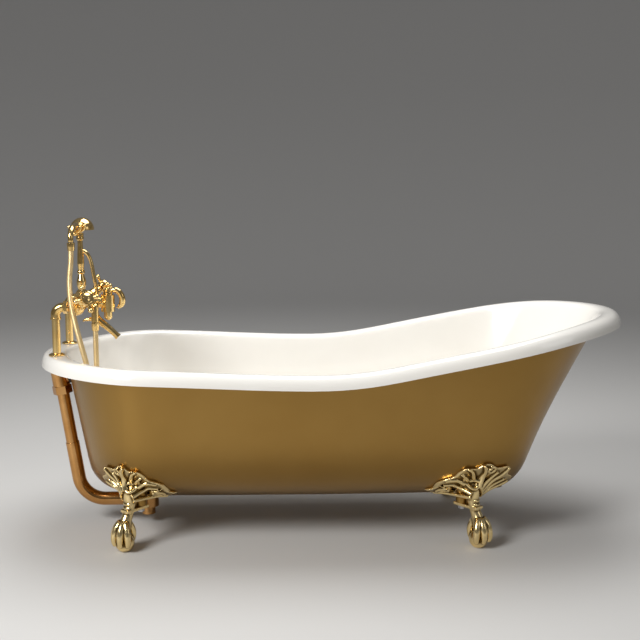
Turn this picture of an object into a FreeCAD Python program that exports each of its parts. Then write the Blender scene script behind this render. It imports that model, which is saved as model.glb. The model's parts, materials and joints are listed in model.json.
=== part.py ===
import FreeCAD, Part
import math
import os

import Sketcher
from FreeCAD import Placement, Rotation, Vector

# Slipper bath of cast iron on four claw feet, with its deck tap, hand shower and exposed waste.
# Frame: millimetres, floor at zero, +X to the raised slipper end, +Y to the far side, +Z up.
# Sizes that end in x are measured in from the bath's nearer end.

SIZES = {
    # tub, in plan and in height
    "bath_length": 1700.0,
    "bath_width": 740.0,
    "tap_end_reach": 319.0,
    "slipper_end_reach": 435.0,
    "low_rim_height": 517.0,
    "slipper_rim_height": 647.0,
    "belly_height": 105.0,
    "iron_wall": 6.0,
    "enamel_thickness": 1.2,
    "enamel_bond": 0.2,
    # tub wall and rolled rim: at the sides, at the tap end and at the slipper end
    "side_corner_radius": 258.0,
    "tap_corner_radius": 105.0,
    "slipper_corner_radius": 120.0,
    "lip_drop": 35.0,
    "side_overhang": 46.0,
    "tap_overhang": 74.0,
    "slipper_overhang": 71.0,
    "side_roll": 26.0,
    "tap_roll": 18.0,
    "slipper_roll": 30.0,
    "side_inner_roll": 20.0,
    "tap_inner_roll": 14.0,
    "slipper_inner_roll": 30.0,
    # feet: ball, claws, leg, leaf bracket and its tongue
    "tap_foot_x": 260.0,
    "slipper_foot_x": 447.0,
    "foot_y": 240.0,
    "ball_radius": 27.0,
    "ball_sink": 3.0,
    "claw_reach": 31.0,
    "claw_height": 84.0,
    "claw_radius": 10.0,
    "ankle_radius": 14.5,
    "knee_radius": 24.0,
    "knee_height": 160.0,
    "leaf_outer_reach": 108.0,
    "leaf_inner_reach": 74.0,
    "leaf_height": 160.0,
    "leaf_top": 82.0,
    "leaf_drop": 28.0,
    "leaf_thickness": 8.0,
    "rib_thickness": 14.0,
    "rib_width": 15.0,
    "tongue_height": 108.0,
    "tongue_thickness": 9.0,
    "tongue_width": 30.0,
    "tongue_reach": 82.0,
    "bolt_setback": 64.0,
    "bolt_radius": 5.0,
    "bolt_length": 38.0,
    "bolt_hole_clearance": 0.5,
    "pad_radius": 17.0,
    "washer_radius": 11.0,
    "washer_thickness": 2.0,
    "foot_nut_flats": 17.0,
    "foot_nut_height": 8.0,
    # waste and overflow
    "drain_x": 302.0,
    "drain_hole_radius": 22.0,
    "drain_neck_radius": 20.5,
    "drain_bore": 17.0,
    "drain_flange_radius": 30.0,
    "drain_flange_thickness": 3.5,
    "drain_neck_length": 26.0,
    "spider_thickness": 6.0,
    "spider_width": 5.0,
    "spider_hub": 8.0,
    "stopper_radius": 23.0,
    "stopper_thickness": 4.0,
    "stopper_crown": 3.0,
    "stopper_stem": 4.0,
    "stopper_stem_length": 38.0,
    "gasket_thickness": 4.0,
    "shoe_radius": 31.0,
    "shoe_height": 48.0,
    "shoe_wall": 3.0,
    "inlet_length": 44.0,
    "outlet_radius": 20.0,
    "outlet_length": 24.0,
    "outlet_relief": 2.0,
    "waste_height": 75.0,
    "waste_radius": 20.0,
    "waste_wall": 1.7,
    "waste_bend_radius": 78.0,
    "slip_height": 251.0,
    "slip_overlap": 22.0,
    "overflow_height": 462.0,
    "overflow_offset": 31.0,
    "overflow_body_radius": 25.0,
    "overflow_socket": 40.0,
    "overflow_neck_radius": 19.0,
    "overflow_hole_radius": 20.0,
    "overflow_flange_radius": 31.0,
    "overflow_flange_thickness": 5.0,
    "overflow_bore": 15.0,
    "overflow_tube_wall": 1.5,
    "overflow_plate_radius": 34.0,
    "overflow_plate_thickness": 5.0,
    "overflow_slot_width": 6.0,
    "overflow_slot_length": 34.0,
    "overflow_screw_radius": 4.0,
    "overflow_screw_head": 8.0,
    "overflow_screw_length": 26.0,
    "coupling_flats": 50.0,
    "coupling_height": 24.0,
    # risers on the deck
    "riser_x": 64.0,
    "riser_y": 102.0,
    "riser_radius": 11.5,
    "riser_wall": 1.5,
    "riser_tail": 40.0,
    "supply_length": 16.0,
    "supply_groove": 2.0,
    "supply_groove_depth": 0.7,
    "deck_hole_radius": 13.0,
    "riser_flange_radius": 23.0,
    "riser_flange_height": 7.0,
    "deck_washer_radius": 18.0,
    "deck_washer_thickness": 3.0,
    "lock_nut_flats": 32.0,
    "lock_nut_height": 9.0,
    "elbow_radius": 13.5,
    "elbow_bend": 21.0,
    "elbow_drop": 34.0,
    "elbow_collar": 15.5,
    "elbow_collar_height": 5.0,
    "union_flats": 32.0,
    "union_length": 11.0,
    # tap body
    "tap_x": 122.0,
    "tap_height": 668.0,
    "barrel_radius": 18.0,
    "barrel_ring_length": 5.0,
    "barrel_ring_rise": 3.0,
    "chamber_radius": 24.0,
    "inlet_radius": 12.0,
    "stem_radius": 16.0,
    "diverter_x": 197.0,
    "housing_radius": 20.0,
    "housing_low": 642.0,
    "housing_high": 690.0,
    "housing_foot_radius": 12.0,
    "housing_foot_height": 14.0,
    "post_boss_radius": 15.0,
    "post_boss_height": 26.0,
    "outlet_x": 165.0,
    "outlet_y": 42.0,
    "outlet_arm_radius": 10.0,
    "outlet_arm_drop": 8.0,
    "outlet_low": 616.0,
    # handles, along the splayed valve axis from the chamber's middle
    "valve_boss_radius": 16.0,
    "valve_boss_end": 31.0,
    "bonnet_radius": 14.0,
    "bonnet_end": 56.0,
    "spindle_radius": 5.0,
    "spindle_start": 34.0,
    "spindle_end": 74.0,
    "hub_start": 58.0,
    "hub_end": 78.0,
    "hub_radius": 19.0,
    "hub_waist": 13.0,
    "arm_reach": 34.0,
    "arm_radius": 5.0,
    "arm_ball": 7.0,
    "cap_height": 6.0,
    "cap_radius": 15.0,
    # diverter
    "diverter_bonnet_radius": 14.0,
    "diverter_bonnet_height": 8.0,
    "diverter_spindle_radius": 4.5,
    "lever_hub_radius": 13.0,
    "lever_hub_height": 9.0,
    "lever_gap": 0.6,
    "lever_reach": 42.0,
    "lever_drop": 52.0,
    "lever_radius": 9.0,
    "finial_radius": 7.0,
    "finial_height": 19.0,
    # spout
    "spout_radius": 10.0,
    "spout_tip_x": 221.0,
    "spout_tip_height": 569.5,
    "spout_root_x": 160.0,
    "spout_root_height": 648.0,
    "spout_bore": 7.0,
    "spout_ring_radius": 10.5,
    "spout_ring_length": 5.0,
    "horn_tip_x": 122.0,
    "horn_tip_height": 613.0,
    # column, brace and cradle
    "column_height": 168.0,
    "column_radius": 15.0,
    "column_neck": 7.5,
    "brace_radius": 5.5,
    "brace_foot_x": 166.0,
    "brace_head": 125.0,
    "cradle_boss_radius": 11.0,
    "cradle_boss_height": 8.0,
    "cradle_bar_radius": 6.0,
    "cradle_half_span": 30.0,
    "cradle_offset": 8.0,
    "hook_radius": 4.0,
    # hand shower
    "grip_radius": 11.0,
    "tail_reach": 88.0,
    "tail_drop": 38.0,
    "tail_radius": 8.0,
    "rose_radius": 35.0,
    "rose_height": 36.0,
    "rose_reach": 74.0,
    "rose_face_drop": 14.0,
    "rose_plate_radius": 31.0,
    "rose_plate_thickness": 3.0,
    # hose
    "hose_straight": 46.0,
    "hose_drop": 440.0,
    "hose_radius": 7.8,
    "hose_nut_radius": 11.0,
    "hose_nut_length": 22.0,
    "hose_washer_thickness": 2.0,
    # fits and cuts
    "running_fit": 0.05,
    "seat_gap": 0.3,
    "slip_fit": 0.3,
    "overrun": 20.0,
}
SIDE_LEAN = 10.0
TAP_LEAN = 10.3
SLIPPER_LEAN = 28.0
TAP_PLAN_POWER = 1.7
SLIPPER_PLAN_POWER = 1.9
# Rim line along the bath: share of the half length, share of the rise of the slipper end.
RIM_LINE_SHARES = (
    (-1.0, 0.085), (-0.753, 0.123), (-0.494, 0.077), (-0.212, 0.0), (0.047, 0.0),
    (0.306, 0.308), (0.565, 0.63), (0.8, 0.892), (1.0, 1.0),
)
END_STEPS = 12
SIDE_STEPS = 9
ROLL_STEPS = 5
INNER_ROLL_STEPS = 3
WALL_STEPS = 4
CORNER_STEPS = 7

# Feet: turn of the toes from straight out, claws around the ball and shares of the foot's own sizes.
FOOT_TURN = 40.0
CLAW_ANGLES = (-62.0, -22.0, 22.0, 62.0, 180.0)
CLAW_SHARES = ((0.3, 1.0), (0.75, 0.8), (1.0, 0.5), (0.93, 0.22))
CLAW_RADIUS_SHARES = (0.9, 1.0, 0.95, 0.5)
LEG_SHARES = ((0.2, 0.32), (-0.1, 0.5), (-0.62, 0.72), (-0.8, 0.9), (-1.5, 1.12))
LEG_RADIUS_SHARES = (0.7, 0.3, 0.05, 0.5, 1.0)
LEAF_LOBES = 10
LEAF_STEPS = 4
LEAF_SCALLOP_SHARE = 0.07
LEAF_DEPTH_SHARE = 7.0
LEAF_RIB_SHARES = ((8.0, 0.95), (48.0, 0.92), (90.0, 0.95), (132.0, 0.92), (172.0, 0.95))

# Waste, tap and hand shower: angles, and shares of the pieces' own sizes.
WASTE_LEAN = 8.5
OVERFLOW_SLOT_SHARES = (-0.55, 0.55)
VALVE_SPLAY = (0.55, 0.72, 0.42)
HANDLE_TURN = 45.0
ARM_LEVEL_SHARE = 0.55
BARREL_RING_SHARES = (0.3, 0.62)
BEAK_SHARES = ((0.2, 0.0), (0.72, 0.05), (1.0, 0.5), (0.66, 1.0))
BEAK_RADIUS_SHARES = (0.6, 0.95, 1.0, 0.4)
SPOUT_SHARES = ((0.0, 0.0), (0.16, 0.42), (0.46, 0.61), (0.74, 0.8), (1.0, 1.0))
SPOUT_RADIUS_SHARES = (1.15, 1.1, 1.0, 0.92, 0.88)
HORN_ROOT = 1
HORN_SHARES = ((0.0, 0.0), (0.35, -1.6), (0.7, -1.3), (1.0, 1.0))
HORN_RADIUS_SHARES = (0.85, 0.7, 0.45, 0.15)
COLUMN_SHARES = (
    (1.0, 0.0), (1.0, 0.04), (0.3, 0.08), (0.75, 0.14), (0.85, 0.22), (0.1, 0.34), (0.5, 0.36), (0.5, 0.39),
    (0.1, 0.42), (0.35, 0.52), (0.3, 0.62), (0.0, 0.86), (0.0, 0.92), (0.5, 0.94), (0.5, 0.97), (0.3, 1.0),
)
BRACE_FOOT_SHARE = 0.9
BRACE_HEAD_SHARE = 0.4
BRACE_SHARES = ((0.0, 0.0), (0.1, 0.3), (0.3, 0.65), (0.62, 0.92), (1.0, 1.0))
CAP_EDGE_SHARE = 0.34
DECK_ROOM_SHARE = 5.0
NUT_SHOULDER_SHARE = 0.45
FINIAL_NECK_SHARES = ((0.9, 0.15), (0.45, 0.35))
FINIAL_SHOULDER_SHARE = 0.7
FINIAL_ROUND_SHARE = 1.2
CRADLE_TURN = -2.0
KNOB_SHARE = 1.2
BAR_END_SHARE = 1.04
GRIP_SHARES = ((0.0, 0.0), (0.2, 0.0), (0.5, 0.0), (0.78, 0.0), (0.94, 0.22), (1.0, 0.62), (1.0, 1.0))
GRIP_RADIUS_SHARES = (0.75, 0.8, 1.0, 0.9, 0.8, 0.73, 0.73)
HOSE_ROUND_SHARE = 0.45
HOSE_SHARES = (
    (-0.136, -0.141, 0.298), (-0.118, -0.214, 0.159), (-0.084, -0.255, 0.025), (-0.045, -0.268, -0.123),
    (-0.005, -0.268, -0.282), (0.052, -0.264, -0.441), (0.123, -0.255, -0.595), (0.195, -0.245, -0.727),
    (0.245, -0.22, -0.843), (0.245, -0.166, -0.945), (0.189, -0.098, -1.0), (0.107, -0.043, -0.977),
    (0.055, -0.016, -0.88), (0.025, -0.005, -0.72), (0.007, 0.0, -0.52), (0.001, -0.001, -0.327),
    (0.0, 0.0, -0.145),
)

doc = FreeCAD.newDocument("slipper_bath")
sheet = doc.addObject("Spreadsheet::Sheet", "sizes")


def fill_sheet():
    """Write every driving dimension into the sheet under its alias."""
    for row, (alias, value) in enumerate(SIZES.items(), start=1):
        sheet.set(f"A{row}", alias)
        sheet.set(f"B{row}", str(value))
        sheet.setAlias(f"B{row}", alias)
    doc.recompute()


class Size:
    """A length with its value and the expression that binds it to the sheet."""

    def __init__(self, value, text):
        self.value = value
        self.text = text

    @staticmethod
    def of(item):
        return item if isinstance(item, Size) else Size(float(item), repr(float(item)))

    def join(self, other, sign, value):
        return Size(value, f"({self.text} {sign} {Size.of(other).text})")

    def __add__(self, other):
        return self.join(other, "+", self.value + Size.of(other).value)

    def __sub__(self, other):
        return self.join(other, "-", self.value - Size.of(other).value)

    def __mul__(self, other):
        return self.join(other, "*", self.value * Size.of(other).value)

    def __truediv__(self, other):
        return self.join(other, "/", self.value / Size.of(other).value)


class Bound:
    """Sheet cells as lengths that carry their expression."""

    def __getattr__(self, alias):
        return Size(float(sheet.get(alias)), f"sizes.{alias}")


class Plain:
    """Sheet cells as plain numbers."""

    def __getattr__(self, alias):
        return float(sheet.get(alias))


fill_sheet()
bound = Bound()
size = Plain()
nodes = []


def keep(item, label, place=None):
    """Label a finished object, place it and list it as a node."""
    item.Label = label
    if place is not None:
        item.Placement = place
    nodes.append(item)
    return item


def solid_node(label, shape, place=None):
    """Keep a shape as a node, as one solid or a group of separate solids."""
    item = doc.addObject("Part::Feature", label)
    item.Shape = shape
    return keep(item, label, place)


def along(at, direction):
    """Placement that carries the local +Z axis to a direction at a point."""
    return Placement(at, Rotation(Vector(0, 0, 1), direction))


# Tub: stations around the rim, each with a wall profile, joined by closed rings


def end_x(inset):
    """Distance from the bath's middle to a place that lies this far in from its end."""
    return size.bath_length / 2 - inset


def rim_height(x):
    """Height of the rim's crest at a place along the bath, by cubic pieces."""
    table = RIM_LINE_SHARES
    spot = x / (size.bath_length / 2)
    last = len(table) - 1
    k = next((i for i in range(1, last) if spot <= table[i][0]), last)

    def slope(i):
        low, high = table[max(i - 1, 0)], table[min(i + 1, last)]
        return (high[1] - low[1]) / (high[0] - low[0])

    (x0, y0), (x1, y1) = table[k - 1], table[k]
    step = x1 - x0
    u = (spot - x0) / step
    rise = (2 * u**3 - 3 * u**2 + 1) * y0 + (3 * u**2 - 2 * u**3) * y1
    rise += step * ((u**3 - 2 * u**2 + u) * slope(k - 1) + (u**3 - u**2) * slope(k))
    return size.low_rim_height + rise * (size.slipper_rim_height - size.low_rim_height)


class Station:
    """One place around the rim: centre on the long axis, outward direction, reach of the rim."""

    def __init__(self, centre, across, away, reach):
        self.centre = centre
        self.across = across
        self.away = away
        self.reach = reach

    def mix(self, side, tap, slipper):
        """Blend a side value with the value of the end that this station faces."""
        end = tap if self.across < 0 else slipper
        return side + (end - side) * self.across**2

    def point(self, inset, height):
        out = self.reach - inset
        return Vector(self.centre + self.across * out, self.away * out, height)


def end_stations(centre, reach, power, way):
    """Stations around one end of the rim, a superellipse in plan."""
    found = []
    half = size.bath_width / 2
    for step in range(END_STEPS + 1):
        turn = math.pi * (step / END_STEPS - 0.5)
        x = 0.0 if step in (0, END_STEPS) else way * reach * math.cos(turn) ** (2 / power)
        y = way * half * math.copysign(abs(math.sin(turn)) ** (2 / power), turn)
        out = math.hypot(x, y)
        found.append(Station(centre, x / out, y / out, out))
    return found


def rim_stations():
    """Stations once around the rim, from the near slipper corner."""
    slipper_x = size.bath_length / 2 - size.slipper_end_reach
    tap_x = size.tap_end_reach - size.bath_length / 2
    half = size.bath_width / 2
    side = [slipper_x + (tap_x - slipper_x) * i / SIDE_STEPS for i in range(1, SIDE_STEPS)]
    found = end_stations(slipper_x, size.slipper_end_reach, SLIPPER_PLAN_POWER, 1)
    found += [Station(x, 0.0, 1.0, half) for x in side]
    found += end_stations(tap_x, size.tap_end_reach, TAP_PLAN_POWER, -1)
    found += [Station(x, 0.0, -1.0, half) for x in reversed(side)]
    return found


def wall_profile(station, depth):
    """Points (inset from the rim's edge, height) from the lip over the roll to the belly.

    The top face of the iron has depth 0 and its under face the iron's wall; the enamel's
    faces have a negative depth, above the iron.
    """
    crest = rim_height(station.point(0, 0).x)
    lean = math.radians(station.mix(SIDE_LEAN, TAP_LEAN, SLIPPER_LEAN))
    corner = station.mix(size.side_corner_radius, size.tap_corner_radius, size.slipper_corner_radius)
    overhang = station.mix(size.side_overhang, size.tap_overhang, size.slipper_overhang)
    roll = station.mix(size.side_roll, size.tap_roll, size.slipper_roll)
    inner = station.mix(size.side_inner_roll, size.tap_inner_roll, size.slipper_inner_roll)
    lip = crest - size.lip_drop
    bend_end = crest - inner * (1 - math.sin(lean))
    wall_inset = overhang + size.iron_wall / math.cos(lean) - (bend_end - lip) * math.tan(lean)
    flat_end = wall_inset - inner * math.cos(lean)
    points = []
    for step in range(ROLL_STEPS + 1):
        turn = math.pi / 2 * step / ROLL_STEPS
        across = roll - (roll - depth) * math.cos(turn)
        points.append((across, lip + (size.lip_drop - depth) * math.sin(turn)))
    for step in range(INNER_ROLL_STEPS + 1):
        turn = (math.pi / 2 - lean) * step / INNER_ROLL_STEPS
        bend = inner - depth
        points.append((flat_end + bend * math.sin(turn), crest - inner + bend * math.cos(turn)))
    middle_height = size.belly_height + corner
    foot_height = middle_height - corner * math.sin(lean)
    middle_inset = overhang + (lip - foot_height) * math.tan(lean) + corner * math.cos(lean)
    bend = corner - size.iron_wall + depth
    top = points[-1]
    foot = (middle_inset - bend * math.cos(lean), middle_height - bend * math.sin(lean))
    for step in range(1, WALL_STEPS):
        share = step / WALL_STEPS
        points.append((top[0] + (foot[0] - top[0]) * share, top[1] + (foot[1] - top[1]) * share))
    for step in range(CORNER_STEPS + 1):
        turn = lean + (math.pi / 2 - lean) * step / CORNER_STEPS
        points.append((middle_inset - bend * math.cos(turn), middle_height - bend * math.sin(turn)))
    return points


def wall_face(stations, profiles):
    """Smooth closed face around the tub, a cubic net over the stations' profiles."""
    net = [[station.point(*spot) for spot in profile] for station, profile in zip(stations, profiles)]
    around, down = len(net), len(net[0])
    surface = Part.BSplineSurface()
    surface.buildFromPolesMultsKnots(
        net, [1] * (around + 1), [4] + [1] * (down - 4) + [4],
        list(range(around + 1)), list(range(down - 2)), True, False, 3, 3,
    )
    return surface.toShape()


def end_rings(face):
    """Upper and lower boundary wires of a wall face."""
    rings = sorted((edge for edge in face.Edges if edge.isClosed()), key=lambda edge: edge.BoundBox.ZMin)
    return Part.Wire(rings[-1]), Part.Wire(rings[0])


def closed_solid(faces):
    """Sew faces into one solid."""
    shell = Part.makeShell(faces)
    shell.sewShape()
    solid = Part.Solid(shell)
    if solid.Volume < 0:
        solid.reverse()
    return solid


def tub_skin(under, over):
    """Solid between two depths of the tub's wall, with its lip edge and belly closed."""
    stations = rim_stations()
    lower = wall_face(stations, [wall_profile(station, under) for station in stations])
    upper = wall_face(stations, [wall_profile(station, over) for station in stations])
    low_lip, low_belly = end_rings(lower)
    top_lip, top_belly = end_rings(upper)
    lip = Part.makeRuledSurface(low_lip.Edges[0], top_lip.Edges[0])
    return closed_solid([lower, upper, lip, Part.Face(low_belly), Part.Face(top_belly)])


def tub_plug(depth):
    """Filled solid inside one face of the tub's wall, its walls run straight up to a flat lid."""
    stations = rim_stations()
    profiles = []
    for station in stations:
        wall = wall_profile(station, depth)[ROLL_STEPS + INNER_ROLL_STEPS + 1:]
        (inset, height), (next_inset, next_height) = wall[0], wall[1]
        rise = (size.slipper_rim_height - height) / (height - next_height)
        lid = (inset + (inset - next_inset) * rise, size.slipper_rim_height)
        profiles.append([lid] + wall)
    wall = wall_face(stations, profiles)
    lid, belly = end_rings(wall)
    return closed_solid([wall, Part.Face(lid), Part.Face(belly)])


def tap_wall_x(height):
    """Outer face of the tap end's wall on the long axis at a height."""
    lip = rim_height(-size.bath_length / 2) - size.lip_drop
    inset = size.tap_overhang + (lip - height) * math.tan(math.radians(TAP_LEAN))
    return inset - size.bath_length / 2


def post(radius, low, high, x, y):
    """Upright cylinder between two heights."""
    return Part.makeCylinder(radius, high - low, Vector(x, y, low))


OUTER_PLUG = tub_plug(size.iron_wall + size.seat_gap)
INNER_PLUG = tub_plug(-size.enamel_bond - size.enamel_thickness - size.seat_gap)


# Builders shared by the pieces


def arc_between(start, end, radius):
    """Arc of a circle between two points; its middle lies left of the way for a positive radius."""
    chord = end - start
    left = Vector(-chord.y, chord.x, 0).normalize()
    rise = math.sqrt(max(radius**2 - (chord.Length / 2) ** 2, 0))
    middle = (start + end) / 2 + left * math.copysign(rise, radius)
    circle = Part.Circle(middle, Vector(0, 0, 1), abs(radius))
    ends = (start, end) if radius > 0 else (end, start)
    angles = [math.atan2(point.y - middle.y, point.x - middle.x) for point in ends]
    return Part.ArcOfCircle(circle, angles[0], angles[1])


def fix_place(sketch, segment, corner, values):
    """Hold a sketch point at sheet-bound distances from the origin."""
    for kind, axis, item in (("DistanceX", -2, values[0]), ("DistanceY", -1, values[1])):
        if item.value == 0:
            sketch.addConstraint(Sketcher.Constraint("PointOnObject", segment, corner, axis))
            continue
        number = sketch.addConstraint(Sketcher.Constraint(kind, -1, 1, segment, corner, item.value))
        sketch.setExpression(f"Constraints[{number}]", item.text)


def dome_radius(across, rise):
    """Radius of the ball whose cap has the given rim radius and rise."""
    return (across * across + rise * rise) / (rise * 2)


def turned(label, outline, place=None):
    """Body turned about its Z axis from corners (radius, height) or (radius, height, arc radius).

    A corner's arc radius rounds the stretch that arrives there, with its middle on the left
    of the way if positive.
    """
    body = doc.addObject("PartDesign::Body", label)
    sketch = body.newObject("Sketcher::SketchObject", f"{label}_outline")
    plane = next(item for item in body.Origin.OriginFeatures if item.Role == "XZ_Plane")
    sketch.AttachmentSupport = (plane, [""])
    sketch.MapMode = "FlatFace"
    corners = [(Size.of(item[0]), Size.of(item[1])) for item in outline]
    points = [Vector(across.value, up.value, 0) for across, up in corners]
    starts = []
    ends = []
    for number, start in enumerate(points):
        following = (number + 1) % len(points)
        item = outline[following]
        if len(item) == 3:
            radius = Size.of(item[2])
            sketch.addGeometry(arc_between(start, points[following], radius.value), False)
            forward = radius.value > 0
            starts.append(1 if forward else 2)
            ends.append(2 if forward else 1)
        else:
            sketch.addGeometry(Part.LineSegment(start, points[following]), False)
            starts.append(1)
            ends.append(2)
    for number in range(len(points)):
        before = number - 1 if number else len(points) - 1
        joined = (before, ends[before], number, starts[number])
        sketch.addConstraint(Sketcher.Constraint("Coincident", *joined))
        fix_place(sketch, number, starts[number], corners[number])
    for number in range(len(points)):
        item = outline[(number + 1) % len(points)]
        if len(item) == 3:
            radius = Size.of(item[2])
            held = sketch.addConstraint(Sketcher.Constraint("Radius", number, abs(radius.value)))
            sketch.setExpression(f"Constraints[{held}]", f"abs({radius.text})")
    lathe = body.newObject("PartDesign::Revolution", f"{label}_turning")
    lathe.Profile = sketch
    lathe.ReferenceAxis = (sketch, ["V_Axis"])
    lathe.Angle = 360
    sketch.Visibility = False
    return keep(body, label, place)


def hex_nut(label, flats, height, bore, place):
    """Hexagonal nut with a plain bore, standing on its lower face."""
    blank = doc.addObject("Part::Prism", f"{label}_blank")
    blank.Polygon = 6
    blank.setExpression("Circumradius", f"{flats.text} / sqrt(3)")
    blank.setExpression("Height", height.text)
    hole = doc.addObject("Part::Cylinder", f"{label}_bore")
    hole.setExpression("Radius", bore.text)
    hole.setExpression("Height", height.text)
    nut = doc.addObject("Part::Cut", label)
    nut.Base = blank
    nut.Tool = hole
    return keep(nut, label, place)


def rounded_path(points, radii):
    """Wire of straight runs joined by tangent arcs of the given radii at the inner points."""
    edges = []
    start = points[0]
    for before, corner, after, radius in zip(points, points[1:], points[2:], radii):
        back = (before - corner).normalize()
        ahead = (after - corner).normalize()
        turn = math.pi - back.getAngle(ahead)
        trim = radius * math.tan(turn / 2)
        middle = (back + ahead).normalize()
        first, last = corner + back * trim, corner + ahead * trim
        top = corner + middle * (radius / math.cos(turn / 2) - radius)
        edges.append(Part.LineSegment(start, first).toShape())
        edges.append(Part.Arc(first, top, last).toShape())
        start = last
    edges.append(Part.LineSegment(start, points[-1]).toShape())
    return Part.Wire(edges)


def rod(path, radius):
    """Round solid along a wire."""
    start = path.Edges[0]
    first = start.FirstParameter
    circle = Part.makeCircle(radius, start.valueAt(first), start.tangentAt(first))
    return path.makePipeShell([Part.Wire(circle)], True, False)


def tube(path, radius, wall):
    """Round tube along a wire."""
    return rod(path, radius).cut(rod(path, radius - wall))


def horn(points, radii):
    """Round solid of changing radius along a smooth curve through points, square to its end runs."""
    curve = Part.BSplineCurve()
    curve.interpolate(points)
    ways = [curve.tangent(curve.parameter(point))[0] for point in points]
    ways[0] = points[1] - points[0]
    ways[-1] = points[-1] - points[-2]
    rounds = []
    for point, way, radius in zip(points, ways, radii):
        rounds.append(Part.Wire(Part.makeCircle(radius, point, way)))
    return Part.makeLoft(rounds, True, False)


def ball(radius, at):
    return Part.makeSphere(radius, at)


def bar(start, end, radius):
    """Cylinder from one point to another."""
    return Part.makeCylinder(radius, (end - start).Length, start, end - start)


# Tub: iron shell with its cast pads, and the enamel lining


def mirrored_y(shape):
    return shape.mirror(Vector(0, 0, 0), Vector(0, 1, 0))


class Foot:
    """Place of one foot on the near side: floor point, outward and sideways directions."""

    def __init__(self, name, x, way):
        turn = math.radians(FOOT_TURN)
        self.name = name
        self.inner = -way
        self.at = Vector(x, -size.foot_y, 0)
        self.out = Vector(way * math.sin(turn), -math.cos(turn), 0)
        self.side = Vector(math.cos(turn), way * math.sin(turn), 0)

    def point(self, out, side, height):
        return self.at + self.out * out + self.side * side + Vector(0, 0, height)


def drain_seat():
    """Top of the enamel on the tub's floor."""
    return size.belly_height + size.iron_wall + size.enamel_bond + size.enamel_thickness


def deck_seat():
    """Top of the enamel on the deck under the risers, with the seat gap."""
    out = end_x(size.riser_x) - (size.bath_length / 2 - size.tap_end_reach)
    way = math.hypot(out, size.riser_y)
    share = (out / way / size.tap_end_reach) ** TAP_PLAN_POWER
    share += (size.riser_y / way / (size.bath_width / 2)) ** TAP_PLAN_POWER
    edge = out / way * share ** (-1 / TAP_PLAN_POWER) + size.bath_length / 2 - size.tap_end_reach
    return rim_height(-edge) + size.enamel_bond + size.enamel_thickness + size.seat_gap * 2


def overflow_axis():
    """Middle of the overflow hole in the tap end's wall, and the outward normal there."""
    lean = math.radians(TAP_LEAN)
    at = Vector(tap_wall_x(size.overflow_height), 0, size.overflow_height)
    return at, Vector(-math.cos(lean), 0, -math.sin(lean))


def tub_holes():
    """Drain, overflow and riser holes as cutters."""
    reach = size.overrun + size.iron_wall
    at, normal = overflow_axis()
    low = size.belly_height - reach
    cutters = [post(size.drain_hole_radius, low, size.belly_height + reach, -end_x(size.drain_x), 0)]
    cutters.append(bar(at - normal * reach, at + normal * reach, size.overflow_hole_radius))
    for y in (-size.riser_y, size.riser_y):
        seat = deck_seat()
        cutters.append(post(size.deck_hole_radius, seat - reach, seat + reach, -end_x(size.riser_x), y))
    return cutters


def make_tub(feet):
    """Iron shell with a cast pad over each foot's bolt, and the enamel over its top face."""
    shell = tub_skin(size.iron_wall, 0)
    core = tub_plug(size.iron_wall / 2)
    pads = []
    for foot in feet:
        base = foot.point(-size.bolt_setback, 0, size.tongue_height + size.tongue_thickness)
        pad = Part.makeCylinder(size.pad_radius, size.leaf_height - size.tongue_height, base).cut(core)
        pad = max(pad.Solids, key=lambda piece: piece.Volume)
        hole = Part.makeCylinder(size.bolt_radius, size.bolt_length / 2, base)
        pads += [pad.cut(hole), mirrored_y(pad.cut(hole))]
    shell = shell.cut(tub_holes())
    shell = shell.fuse(pads)
    enamel = tub_skin(-size.enamel_bond, -size.enamel_bond - size.enamel_thickness).cut(tub_holes())
    solid_node("tub_shell", shell)
    solid_node("enamel_lining", enamel)


# Feet: ball, claws, leg, tongue and a leaf bracket that follows the tub


def leaf_reach(foot, turn):
    """Sideways reach of the leaf, shorter towards the middle of the bath."""
    return size.leaf_inner_reach if math.cos(turn) * foot.inner > 0 else size.leaf_outer_reach


def leaf_outline(foot):
    """Closed scalloped curve of the leaf bracket, in the plane across the foot's direction."""
    points = []
    for step in range(LEAF_LOBES * LEAF_STEPS):
        turn = 2 * math.pi * step / (LEAF_LOBES * LEAF_STEPS)
        lobe = 1 + LEAF_SCALLOP_SHARE * math.cos(LEAF_LOBES * (turn - math.pi / 2))
        rise = size.leaf_top if math.sin(turn) > 0 else size.leaf_drop
        across = leaf_reach(foot, turn) * math.cos(turn) * lobe
        height = size.leaf_height + rise * math.sin(turn) * lobe
        points.append(foot.point(-size.overrun * LEAF_DEPTH_SHARE, across, height))
    curve = Part.BSplineCurve()
    curve.interpolate(Points=points, PeriodicFlag=True)
    return Part.Face(Part.Wire(curve.toShape()))


def leaf_ribs(foot):
    """Tapered rib outlines that fan out over the leaf from the knee."""
    found = []
    root = Vector(0, size.leaf_height - size.leaf_drop, 0)
    for angle, share in LEAF_RIB_SHARES:
        turn = math.radians(angle)
        tip = Vector(
            math.cos(turn) * leaf_reach(foot, turn) * share,
            size.leaf_height + math.sin(turn) * size.leaf_top * share,
            0,
        )
        way = (tip - root).normalize()
        edge = Vector(-way.y, way.x, 0) * size.rib_width / 2
        corners = [root + edge, tip, root - edge]
        places = [foot.point(-size.overrun * LEAF_DEPTH_SHARE, corner.x, corner.y) for corner in corners]
        found.append(Part.Face(Part.makePolygon(places + places[:1])))
    return found


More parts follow.
